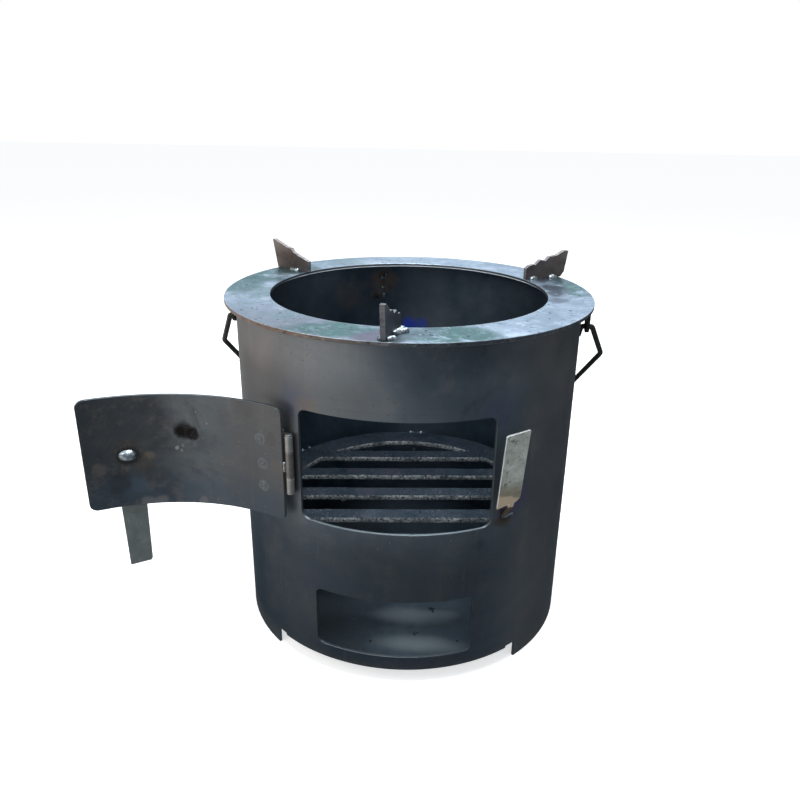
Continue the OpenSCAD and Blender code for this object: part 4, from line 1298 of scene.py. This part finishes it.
def support(name, node, profile, put, teeth_seed, seed):
    amount = 0.0006

    def tear(x, y, u):
        depth = amount * 0.55 * abs(noise.noise(Vector((x * 700, y * 700, seed + u * 0.5))))
        notch = max(0.0, noise.noise(Vector((x * 230, y * 230, seed * 2))) - 0.15)
        return depth + amount * 1.6 * notch
    loop = [(x * MM, y * MM) for x, y in torn(profile, teeth_seed)]
    ob = plate(name, [loop], SUPPORT_T,
               lambda x, y, h: put(SUPPORT_T / 2 - h, -x, RING_Z1 + y), step=0.0007,
               grid=0.0028, bevel=0.00035, rough=0.00030, rough_freq=520, rows=5,
               wave=0.00012, wave_freq=40, seed=seed, rim=0.0009, tear=tear)
    place(ob, SUPPORT_PLATE, "stove_body", node)


def supports():
    support("support_rear_right", "pot_support_rear_right", REAR_RIGHT_PROFILE,
            rear_right_at, teeth_seed=1.0, seed=1.3)
    support("support_rear_left", "pot_support_rear_left", REAR_LEFT_PROFILE,
            rear_left_at, teeth_seed=2.0, seed=2.6)
    support("support_front", "pot_support_front", FRONT_PROFILE, front_at,
            teeth_seed=3.0, seed=3.9)


FACE = SUPPORT_T / 2
# Welds in each support's corners: frame, start, end, radius, side, seed, blobs.
SUPPORT_WELDS = (
    (rear_right_at, (FACE + 0.0008, -0.163), (FACE + 0.0008, -0.170), 0.0026, 1, 1.1, 3),
    (rear_right_at, (FACE + 0.0008, -0.186), (FACE + 0.0008, -0.195), 0.0028, 1, 2.1, 3),
    (rear_right_at, (-FACE - 0.0012, -0.162), (-FACE - 0.0012, -0.166), 0.0034, -1, 3.1, 3),
    (rear_right_at, (-FACE - 0.0012, -0.189), (-FACE - 0.0012, -0.1935), 0.0036, -1, 3.6, 3),
    (rear_left_at, (FACE + 0.0008, -0.168), (FACE + 0.0008, -0.178), 0.0026, 1, 4.1, 3),
    (rear_left_at, (-FACE - 0.001, -0.171), (-FACE - 0.001, -0.179), 0.0035, -1, 5.1, 4),
    (front_at, (FACE + 0.0012, 0.024), (FACE + 0.004, 0.037), 0.0038, 1, 6.1, 5),
    (front_at, (FACE + 0.005, 0.031), (FACE + 0.008, 0.036), 0.0030, 1, 6.6, 3),
    (front_at, (-FACE - 0.0014, 0.004), (-FACE - 0.003, 0.010), 0.0028, -1, 7.1, 3),
    (front_at, (FACE + 0.0012, 0.005), (FACE + 0.004, 0.010), 0.0028, 1, 8.1, 3),
)


def fillet(lumps, put, start, end, radius, side, seed, blobs):
    """One weld: a rippled bead in the corner, with lumps along it."""
    start, end = (put(*Vector(p), RING_Z1 + radius * 0.2) for p in (start, end))
    normal = (put(side, 0, RING_Z1 + 1.0) - put(0, 0, RING_Z1)).normalized()
    lumps.bead(start, end, radius, normal, pitch=0.0018, seed=seed, squash=0.85)
    for i in range(blobs):
        stray = Vector((noise.noise(Vector((seed, i, 1))), noise.noise(Vector((seed, i, 2))), 0))
        centre = start.lerp(end, (i + 0.5) / blobs)
        centre = centre + normal * radius * 0.15 + stray * radius * 0.45
        size = radius * (0.75 + 0.2 * noise.noise(Vector((i * 2.3, seed, 4))))
        lumps.blob(centre, size, normal, squash=0.8, rough=0.3, seed=seed + i)


def support_welds():
    lumps = Lumps()
    for row in SUPPORT_WELDS:
        fillet(lumps, *row)
    for put, centre_y, seed in ((rear_right_at, -0.178, 3), (rear_left_at, -0.175, 5),
                                (front_at, 0.02, 7)):
        def scatter(rng):
            a = rng.rand() * 2 * math.pi
            away = 0.006 + 0.016 * rng.rand() ** 1.4
            p = put(math.cos(a) * away, centre_y + math.sin(a) * away, RING_Z1)
            radius = math.hypot(p.x, p.y)
            if radius > 0.199 or radius < 0.156:
                # off the ring's flat: bring it back to the middle
                p = p * (0.178 / radius)
                p.z = RING_Z1
            return p, (0, 0, 1)
        lumps.spatter(scatter, 26, 0.00022, 0.0006, seed)
    lumps.build_weld("support_welds", "pot_support_welds")


# ---------------------------------------------------------------- body welds
def ring_welds():
    """Ten pairs of beads under the ring, inside the shell."""
    lumps = Lumps()
    y, z = -SHELL_RI + 0.001, RING_Z0 - 0.0008
    for k in range(10):
        a = 18 + k * 36
        for i in range(2):
            x0, x1 = -0.012 + i * 0.0128, -0.0005 + i * 0.0125
            lumps.bead(at_az(a, x0, y, z), at_az(a, x1, y, z), 0.0022, at_az(a, 0, 1, -1),
                       seed=k * 1.7 + i, squash=0.85)
    lumps.build_weld("ring_weld_beads", "ring_stitch_welds")


def seam_welds():
    """Eight beads up the outside of the seam; blobs and spatter inside near its top."""
    lumps = Lumps()
    out = outward(SEAM_AZ)
    y = -SHELL_RO + 0.0002
    for k in range(8):
        z = 0.024 + k * 0.046
        lumps.bead(at_az(SEAM_AZ, 0, y, z), at_az(SEAM_AZ, 0.0006, y, z + 0.013), 0.0019, out,
                   seed=k * 2.1, squash=0.8)
    for i, (x, z) in enumerate(((-3, 361), (2.5, 357), (1, 343), (-1, 333))):
        lumps.blob(at_az(SEAM_AZ, x * MM, -SHELL_RI + 0.0004, z * MM), 0.0027, -out,
                   squash=0.75, rough=0.3, seed=i * 3.3)
        lumps.blob(at_az(SEAM_AZ, x * MM + 0.0012, -SHELL_RI + 0.0002, z * MM - 0.0018),
                   0.0017, -out, squash=0.8, rough=0.3, seed=i * 1.3 + 9)

    def scatter(rng):
        x, z = (rng.rand() - 0.5) * 0.03, 0.31 + 0.06 * rng.rand()
        return at_az(SEAM_AZ, x, -SHELL_RI + 0.00003, z), -out
    lumps.spatter(scatter, 30, 0.0002, 0.0006, 12)
    lumps.build_weld("seam_weld_beads", "seam_tacks")


def floor_welds():
    lumps = Lumps()
    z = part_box("floor_plate")[1].z
    for k in range(8):
        a = 33 + 45 * k
        for j, x in enumerate((-0.0022, 0.0016)):
            lumps.blob(at_az(a, x, -SHELL_RI + 0.0006 + 0.0003 * j, z + 0.0004), 0.0022,
                       at_az(a, 0, 1, 1), squash=0.85, rough=0.25, seed=k * 1.9 + j)
    lumps.build_weld("floor_weld_blobs", "floor_tacks")


def grate_welds():
    lumps = Lumps()
    low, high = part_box("fire_grate")
    # pairs under the grate's edge
    for a in (-62, 62, 128, -128, 178.4):
        for side in (-1, 1):
            lumps.blob(at_az(a, side * 0.006, -SHELL_RI + 0.001, low.z + 0.0006), 0.0023,
                       at_az(a, 0, 1, 0.6), squash=0.9, rough=0.28, seed=a * 0.13 + side)
    # two on top at the back
    for i, a in enumerate((181.1, 176.2)):
        centre = at_az(a, 0, -high.x + 0.0006, high.z + 0.0002)
        lumps.blob(centre, 0.0024, (0, 0, 1), squash=0.8, rough=0.35, seed=20 + i)
        lumps.blob(centre + at_az(a, 0.0013, -0.0006, 0), 0.0015, (0, 0, 1), squash=0.8,
                   rough=0.3, seed=24 + i)
    # two on the inside of the back wall
    back = 179.4
    for i, (x, z) in enumerate(((0.3, 98), (-1.2, 78))):
        lumps.blob(at_az(back, x * MM, -SHELL_RI + 0.0004, z * MM), 0.0029,
                   at_az(back, 0, 1, 0), squash=0.75, rough=0.3, seed=30 + i)
        lumps.blob(at_az(back, x * MM + 0.0009, -SHELL_RI + 0.0003, z * MM - 0.0024), 0.0017,
                   at_az(back, 0, 1, 0), squash=0.7, rough=0.3, seed=34 + i)
    lumps.build_weld("grate_weld_blobs", "grate_tacks")


# ---------------------------------------------------------------- tabs, hinge and lugs
def tabs():
    refined("grate_tabs", "tab_plates", TAB_SHEET, "stove_body", seed=13,
            cut=0.004)


def hinge():
    for node, name, body, dent, seed in (
            ("hinge_body_leaf", "hinge_leaf_body", "stove_body", 0.00012, 3),
            ("hinge_pin", "hinge_pin_rod", "stove_body", 0.00005, 5),
            ("hinge_door_leaf", "hinge_leaf_door", "door", 0.00012, 7)):
        refined(node, name, HINGE_STEEL, body, seed=seed, dent=dent)
    # beads below and above the body leaf, then an upright one beside it
    lumps = Lumps()
    a, y = HINGE_AZ - 6.6, -SHELL_RO - 0.0002
    for i, z in enumerate((LEAF_LO.z - 0.0006, LEAF_HI.z + 0.0006)):
        lumps.bead(at_az(a, -0.009, y, z), at_az(a, 0.009, y, z), 0.0019, outward(a),
                   seed=50 + i, squash=0.85)
    a, y = HINGE_AZ - 10.6, -SHELL_RO - 0.0004
    lumps.bead(at_az(a, 0, y, LEAF_LO.z + 0.008), at_az(a, 0, y, LEAF_HI.z - 0.008), 0.0019,
               outward(a), seed=55, squash=0.85)
    lumps.build_weld("hinge_weld_beads", "hinge_leaf_welds")


def lugs():
    for side, seed in (("left", 9), ("right", 11)):
        refined("bail_lug_" + side, "lug_" + side, ROD_STEEL, "stove_body",
                seed=seed, bevel=0.0005, cut=0.002, dent=0.00008)
    lumps = Lumps()
    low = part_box("bail_lug_right")[0]
    for i, side in enumerate((-1, 1)):
        x = side * (low.x - 0.0004)
        lumps.bead((x, -0.006, RING_Z0 - 0.0005), (x, 0.006, RING_Z0 - 0.0005), 0.0019,
                   (-side, 0, -1), seed=70 + i, squash=0.9)
    lumps.build_weld("lug_weld_beads", "bail_lug_welds")


# ---------------------------------------------------------------- latch keeper
KEEPER_POSE = (Matrix.Translation(az(33.1, 0.203, 0.2108))
               @ Matrix.Rotation(rad(25.0), 4, "Z")         # facing
               @ Matrix.Rotation(rad(10.0), 4, "X")         # lean
               @ Matrix.Rotation(rad(-2.0), 4, "Y"))        # roll
KEEPER_HALF, KEEPER_TOP, KEEPER_T = 0.01225, 0.087, 0.0018
LEG_BEND = rad(26.3)
BEND_AT, BEND_SOFT = -0.0037, 0.0016        # where the leg bends, and half the bend's length


def keeper():
    """Upright strip with a narrow leg below that bends in towards the shell."""
    count = 400
    stride = 0.035 / count
    # the leg's centre line going down: y, z, slope
    y = z = 0.0
    leg = [(0.0, 0.0, 0.0)]
    for i in range(count):
        v = -(i + 0.5) * stride
        k = min(1.0, max(0.0, (BEND_AT + BEND_SOFT - v) / (2 * BEND_SOFT)))
        slope = LEG_BEND * k * k * (3 - 2 * k)
        y += math.sin(slope) * stride
        z -= math.cos(slope) * stride
        leg.append((y, z, slope))

    def on_keeper(x, v, h):
        if v >= 0:
            return KEEPER_POSE @ Vector((x, h, v))
        f = min(count - 1e-6, -v / stride)
        i = int(f)
        f -= i
        ly, lz, slope = (a * (1 - f) + b * f for a, b in zip(leg[i], leg[i + 1]))
        return KEEPER_POSE @ Vector((x, ly + h * math.cos(slope), lz + h * math.sin(slope)))
    w, top = KEEPER_HALF, KEEPER_TOP
    outline = [(-w, -0.0029), (-0.0002, 0.0001), (-0.0002, -0.0258), (0.006, -0.0258),
               (0.006, 0.0016), (0.0078, 0.0021), (w, 0.0072), (w, top - 0.0020),
               (w - 0.0010, top - 0.0011), (-w + 0.0010, top - 0.0037), (-w, top - 0.0046)]
    ob = plate("keeper_strip", [outline], KEEPER_T, on_keeper, step=0.0010, grid=0.0025,
               bevel=0.00025, rough=0.00012, rough_freq=500, wave=0.00012, wave_freq=60,
               seed=6.1, rim=0.0007)
    place(ob, KEEPER_STRIP, "stove_body", "latch_keeper")


def keeper_weld():
    lumps = Lumps()
    weld_az, y = 35.9, -SHELL_RO - 0.0004
    out = outward(weld_az)
    start, end = at_az(weld_az, -0.0046, y, 0.1892), at_az(weld_az, 0.0054, y, 0.1899)
    lumps.bead(start, end, 0.0023, out, seed=61, squash=0.9)
    for i in range(4):
        stray = Vector((0, 0, 0.0009 * noise.noise(Vector((i, 3, 3)))))
        lumps.blob(start.lerp(end, i / 3) + out * 0.0004 + stray, 0.0019, out, squash=0.85,
                   rough=0.35, seed=63 + i)

    def scatter(rng):
        a = 36 + rng.randn() * 3.5
        return at_az(a, 0, -SHELL_RO - 0.00003, 0.1885 + rng.randn() * 0.008), out
    lumps.spatter(scatter, 24, 0.0002, 0.00055, 21)
    lumps.build_weld("keeper_weld_bead", "keeper_weld", BURNT_WELD)


# ---------------------------------------------------------------- door
DOOR_LEFT_AZ, DOOR_RIGHT_AZ = -31.15, 33.0  # with the door closed
# Plug welds: closed azimuth, height in mm.
PLUG_WELDS = ((-22.6, 262), (-23.1, 236), (-23.1, 211.5))


def door():
    def on_door(run, z, h):
        a = run / DOOR_RO
        r = DOOR_RI + h
        return door_pose(Vector((r * math.sin(a), -r * math.cos(a), z)))
    x0, x1 = (DOOR_RO * math.sin(rad(a)) for a in (DOOR_LEFT_AZ, DOOR_RIGHT_AZ))
    outer = round_rect(x0, DOOR_LO.z, x1, DOOR_HI.z, 0.008, DOOR_RO)
    hole = circle(0.003, 32, bent(DOOR_RO * math.sin(rad(RIVET_AZ)), DOOR_RO), RIVET_Z)
    ob = plate("door_sheet", [outer, hole], DOOR_T, on_door, step=0.0014, grid=0.004,
               bevel=0.00035, rough=0.00014, rough_freq=420, wave=0.00028, wave_freq=17,
               seed=5.5, rim=0.0010)
    place(ob, DOOR_SHEET, "door", "door_plate")


def plug_marks():
    """Low craters on the door's inner face."""
    lumps = Lumps()
    up = Vector((0, 0, 1))
    count = 44
    for i, (a, z) in enumerate(PLUG_WELDS):
        normal = door_inward(a)
        centre = door_pose(at_az(a, 0, -DOOR_RI, z * MM))
        side = up.cross(normal).normalized()
        points = []
        for j in range(count + 1):
            t = 2 * math.pi * j / count
            at = Vector((math.cos(t) * 1.4, math.sin(t) * 1.4, i * 4.0))
            r = 0.0034 * (1 + 0.16 * noise.noise(at))
            points.append(centre + side * r * math.cos(t) + up * r * 1.05 * math.sin(t)
                          + normal * 0.00012)
        lumps.tube(points, lambda u, _: 0.00050 * (1 + 0.2 * math.sin(u * 19 + i)), sides=8,
                   rough=0.25, seed=i * 2.0, flat=(normal, 0.55))
        lumps.blob(centre + normal * 0.00002, 0.0022, normal, squash=0.09, rough=0.25,
                   seed=i * 5.0)
        lumps.blob(centre + normal * 0.00005 + side * 0.0004, 0.0008, normal, squash=0.30,
                   rough=0.3, seed=i * 6.0)
    place(lumps.build("plug_weld_marks"), PLUG, "door", "door_plug_welds")


def door_edge_weld():
    """Short upright bead at the door's hinge edge."""
    lumps = Lumps()
    a = HINGE_AZ + 1.25
    normal = door_inward(a)
    start, end = (door_pose(at_az(a, 0, -DOOR_RI - 0.0018, z)) for z in (0.235, 0.243))
    lumps.bead(start, end, 0.0017, normal, pitch=0.0015, seed=81, squash=0.95)
    for i in range(3):
        lumps.blob(start.lerp(end, i / 2.0) + normal * 0.0003, 0.0014, normal, squash=0.9,
                   rough=0.35, seed=83 + i)
    lumps.build_weld("door_edge_weld", "door_edge_tack", body="door")


# ---------------------------------------------------------------- latch
def lathe(profile, centre, normal, sides=56, dent=0.0, seed=0.0, wide=1.0, tall=1.0):
    """Turned solid from (radius, height) rows, closed at both ends, about the normal."""
    normal = normal.normalized()
    up = Vector((0, 0, 1))
    across = normal.cross(up)
    verts, faces = [], []
    for r, h in profile:
        for j in range(sides):
            a = 2 * math.pi * j / sides
            c, s = math.cos(a), math.sin(a)
            d = up * c * tall + across * s * wide
            pit = noise.noise(Vector((c * r * 420, s * r * 420, seed + h * 300))) - 0.35
            out = 1 - 0.012 * noise.noise(Vector((c * 2, s * 2, seed)))
            verts.append(centre + d * (r * out) + normal * (h + dent * pit))
    for k in range(len(profile) - 1):
        for j in range(sides):
            a, b = k * sides + j, k * sides + (j + 1) % sides
            faces.append((a, b, b + sides, a + sides))
    top = (len(profile) - 1) * sides
    last = len(verts)
    verts.append(centre + normal * profile[-1][1])
    for j in range(sides):
        faces.append((top + j, top + (j + 1) % sides, last))
    first = len(verts)
    verts.append(centre + normal * profile[0][1])
    for j in range(sides):
        faces.append((j, first, (j + 1) % sides))
    return verts, faces


def dome(ball, sink, rim, base):
    """Profile of a cap of a ball of that radius, sunk so that its crown is ball - sink."""
    out = [(rim * 0.985, base), (rim, base + 0.0003)]
    steep = math.asin(min(1, rim / ball))
    count = 14
    for i in range(count):
        a = steep * (1 - i / count)
        r = max(1e-5, ball * math.sin(a)) * (0.998 if i == 0 else 1)
        out.append((r, max(base + 0.0004, ball * math.cos(a) - sink)))
    return out


def rivet():
    """An oval head on the door's inner face, a round one over the latch bar, and the shank."""
    normal = door_inward(RIVET_AZ)
    inner = door_pose(at_az(RIVET_AZ, 0, -DOOR_RI, RIVET_Z))
    outer = door_pose(at_az(RIVET_AZ, 0, -DOOR_RO - 0.002 - 0.0002, RIVET_Z))
    shank_r = 0.00292
    shank = [(shank_r, 0.0), (shank_r, (outer - inner).length)]
    solids = (
        lathe(dome(0.0100, 0.0050, 0.0085, -0.0001), inner, normal, dent=0.00030, seed=3.0,
              wide=1.10, tall=0.76),
        lathe(dome(0.0085, 0.0057, 0.0064, -0.0002), outer, -normal, dent=0.00030, seed=8.0),
        lathe(shank, inner, outer - inner, sides=32))
    verts, faces = [], []
    for solid_verts, solid_faces in solids:
        first = len(verts)
        verts += solid_verts
        faces += [tuple(first + i for i in f) for f in solid_faces]
    ob = new_object("rivet_heads", verts, faces, {"edge": [0.0] * len(verts)}, 50)
    place(ob, RIVET_STEEL, "door", "latch_rivet")


BAR_LENGTH, BAR_TOP_W, BAR_FOOT_W, BAR_T = 0.132, 0.0285, 0.0235, 0.002


def bar():
    """Latch bar hanging from the rivet; the outline is measured from the rivet."""
    top, foot, end = BAR_TOP_W / 2, BAR_FOOT_W / 2, -BAR_LENGTH
    outline = [(-top, 0.009), (-top + 0.004, 0.013), (top - 0.004, 0.013), (top, 0.009),
               (foot, end + 0.0008), (foot - 0.0008, end), (-foot + 0.0016, end + 0.003),
               (-foot, end + 0.006)]

    def on_bar(x, y, h):
        return door_pose(at_az(RIVET_AZ, x, -DOOR_RO - 0.0001 - h, RIVET_Z + y))
    ob = plate("latch_strip", [outline, circle(0.00308, 32)], BAR_T, on_bar, step=0.0012,
               grid=0.003, bevel=0.0003, rough=0.00016, rough_freq=420, seed=9.4, rim=0.0008)
    place(ob, BAR_STRIP, "latch", "latch_bar")


# ---------------------------------------------------------------- bail
# Right half of the bail in its own plane, in mm: x, distance from the pivot, bend radius.
BAIL_HALF = ((193.6, 17, 0), (193.6, 0, 3.3), (205.6, 0, 4), (226, 54, 9), (150, 302, 14))
BAIL_LEAN = -50


def filleted(points, radii):
    """The path with its inner corners rounded and its straight runs divided."""
    out = [points[0]]
    for i in range(1, len(points) - 1):
        p = points[i]
        a, b = (points[i - 1] - p).normalized(), (points[i + 1] - p).normalized()
        angle = a.angle(b)
        lead = min(radii[i] / math.tan(angle / 2), (points[i - 1] - p).length * 0.98,
                   (points[i + 1] - p).length * 0.98)
        r = lead * math.tan(angle / 2)
        centre = p + (a + b).normalized() * (r / math.sin(angle / 2))
        v0, v1 = p + a * lead - centre, p + b * lead - centre
        sweep = v0.angle(v1)
        count = max(6, int(r * sweep / 0.0015))
        for j in range(count + 1):
            f = j / count
            arm = v0 * math.sin((1 - f) * sweep) + v1 * math.sin(f * sweep)
            out.append(centre + arm / math.sin(sweep))
    out.append(points[-1])
    path = [out[0]]
    for p in out[1:]:
        gap = p - path[-1]
        count = max(1, int(gap.length / 0.004))
        for _ in range(count):
            path.append(path[-1] + gap / count if count > 1 else p)
    return path


def bail():
    rows = list(BAIL_HALF) + [(-x, y, r) for x, y, r in reversed(BAIL_HALF)]
    path = filleted([Vector((x * MM, y * MM, 0)) for x, y, _ in rows],
                    [r * MM for _, _, r in rows])
    pose = Matrix.Translation((0, 0, BAIL_Z)) @ Matrix.Rotation(rad(BAIL_LEAN), 4, "X")
    lumps = Lumps()
    lumps.tube([pose @ p for p in path], lambda u, a: 0.00297, sides=22, rough=0.018, seed=2.0)
    place(lumps.build("bail_rod"), ROD_STEEL, "bail", "bail_handle")


for build in (shell, ring, ash_floor, grate, supports, support_welds, ring_welds, seam_welds,
              floor_welds, grate_welds, tabs, hinge, keeper, keeper_weld, lugs, door,
              plug_marks, door_edge_weld, rivet, bar, bail):
    build()


# ---------------------------------------------------------------- floor, world, lights, camera
scene = bpy.context.scene
FLOOR_HALF = 12


def studio_floor():
    """Plain bright floor, which the steel mirrors as warm on the left and dark on the right."""
    s = FLOOR_HALF
    mesh = bpy.data.meshes.new("studio_floor")
    mesh.from_pydata([(-s, -s, 0), (s, -s, 0), (s, s, 0), (-s, s, 0)], [], [(0, 1, 2, 3)])
    ob = bpy.data.objects.new("studio_floor", mesh)
    scene.collection.objects.link(ob)
    material = bpy.data.materials.new("studio_floor")
    nodes = Nodes(material)
    diffuse = nodes.add("ShaderNodeBsdfDiffuse", {0: (0.80, 0.80, 0.80)})
    glow = nodes.add("ShaderNodeEmission", {0: (1, 1, 1), 1: 0.62})
    seen = nodes.add("ShaderNodeAddShader", {0: diffuse, 1: glow})
    x = nodes.split(nodes.add("ShaderNodeNewGeometry", output="Position"))[0]
    color = x.step(-1.0, to=0.75).ramp(
        (0.0, (0.95, 0.85, 0.77)), (0.36, (0.40, 0.39, 0.39)), (0.55, (0.10, 0.125, 0.15)),
        (1.0, (0.05, 0.062, 0.075)))
    mirrored = nodes.add("ShaderNodeEmission", {0: color, 1: 1.0})
    glossy = nodes.add("ShaderNodeLightPath", output="Is Glossy Ray")
    result = nodes.add("ShaderNodeMixShader", {0: glossy, 1: seen, 2: mirrored})
    nodes.node("ShaderNodeOutputMaterial", {0: result})
    mesh.materials.append(material)


def studio_world():
    """White to the camera, a soft sky for diffuse light, and a shaded room for reflections."""
    world = bpy.data.worlds.new("studio_world")
    scene.world = world
    nodes = Nodes(world)
    x, y, z = nodes.split(nodes.add("ShaderNodeTexCoord", output="Generated"))
    room = nodes.mix(x.step(0.15, to=-0.8), (0.07, 0.085, 0.10), (0.62, 0.60, 0.58))
    room = room.paint(y.step(0.2, to=0.75), (0.72, 0.86, 1.0))
    room = room.paint(z.step(0.55, to=0.95), (0.45, 0.5, 0.56))

    def background(color, strength):
        return nodes.add("ShaderNodeBackground", {0: color, 1: strength})
    rays = nodes.node("ShaderNodeLightPath")
    glossy = Signal(nodes, rays.outputs["Is Glossy Ray"])
    camera_ray = Signal(nodes, rays.outputs["Is Camera Ray"])
    lit = nodes.add("ShaderNodeMixShader", {
        0: glossy, 1: background((0.92, 0.96, 1.0), strength=0.45),
        2: background(room, strength=0.9)})
    result = nodes.add("ShaderNodeMixShader", {
        0: camera_ray, 1: lit, 2: background((1, 1, 1), strength=1.0)})
    nodes.node("ShaderNodeOutputWorld", {0: result})


# Square area lights: name, place, aim, side, watts, colour.
SOFTBOXES = (
    ("key_softbox", (-1.3, -1.0, 1.5), (0, 0, 0.2), 1.1, 13, (1.0, 0.98, 0.95)),
    ("top_softbox", (0.1, 0.9, 1.9), (0, 0, 0.3), 1.6, 26, (0.93, 0.97, 1.0)),
    ("sky_softbox", (0.0, -0.30, 1.7), (0, 0, 0.12), 0.7, 16, (0.93, 0.97, 1.0)),
    ("right_fill", (1.8, -0.6, 0.8), (0, 0, 0.2), 1.0, 3, (0.92, 0.96, 1.0)),
    ("front_fill", (0.2, -2.2, 0.7), (0, 0, 0.15), 1.2, 1.5, (1.0, 1.0, 1.0)),
)


def softbox(name, location, aim, side, watts, color):
    light = bpy.data.lights.new(name, "AREA")
    light.shape = "SQUARE"
    light.size = side
    light.energy = watts
    light.color = color
    ob = bpy.data.objects.new(name, light)
    ob.location = location
    ob.rotation_euler = (Vector(aim) - Vector(location)).to_track_quat("-Z", "Y").to_euler()
    scene.collection.objects.link(ob)


CAMERA_AT = Vector((0.04489, -0.80283, 0.56652))
CAMERA_RIGHT = Vector((0.99733, 0.07158, 0.01438))
CAMERA_FORWARD = Vector((-0.06135, 0.92835, -0.36661))


def camera():
    data = bpy.data.cameras.new("camera")
    data.lens = 32.86
    data.sensor_width = 36.0
    data.sensor_fit = "HORIZONTAL"
    data.clip_start = 0.02
    data.clip_end = 60
    ob = bpy.data.objects.new("camera", data)
    right = CAMERA_RIGHT.normalized()
    forward = (CAMERA_FORWARD - right * CAMERA_FORWARD.dot(right)).normalized()
    pose = Matrix((right, right.cross(forward), -forward)).transposed().to_4x4()
    pose.translation = CAMERA_AT
    ob.matrix_world = pose
    scene.collection.objects.link(ob)
    scene.camera = ob


studio_floor()
studio_world()
for row in SOFTBOXES:
    softbox(*row)
camera()
scene.view_settings.view_transform = "Standard"
scene.view_settings.look = "None"
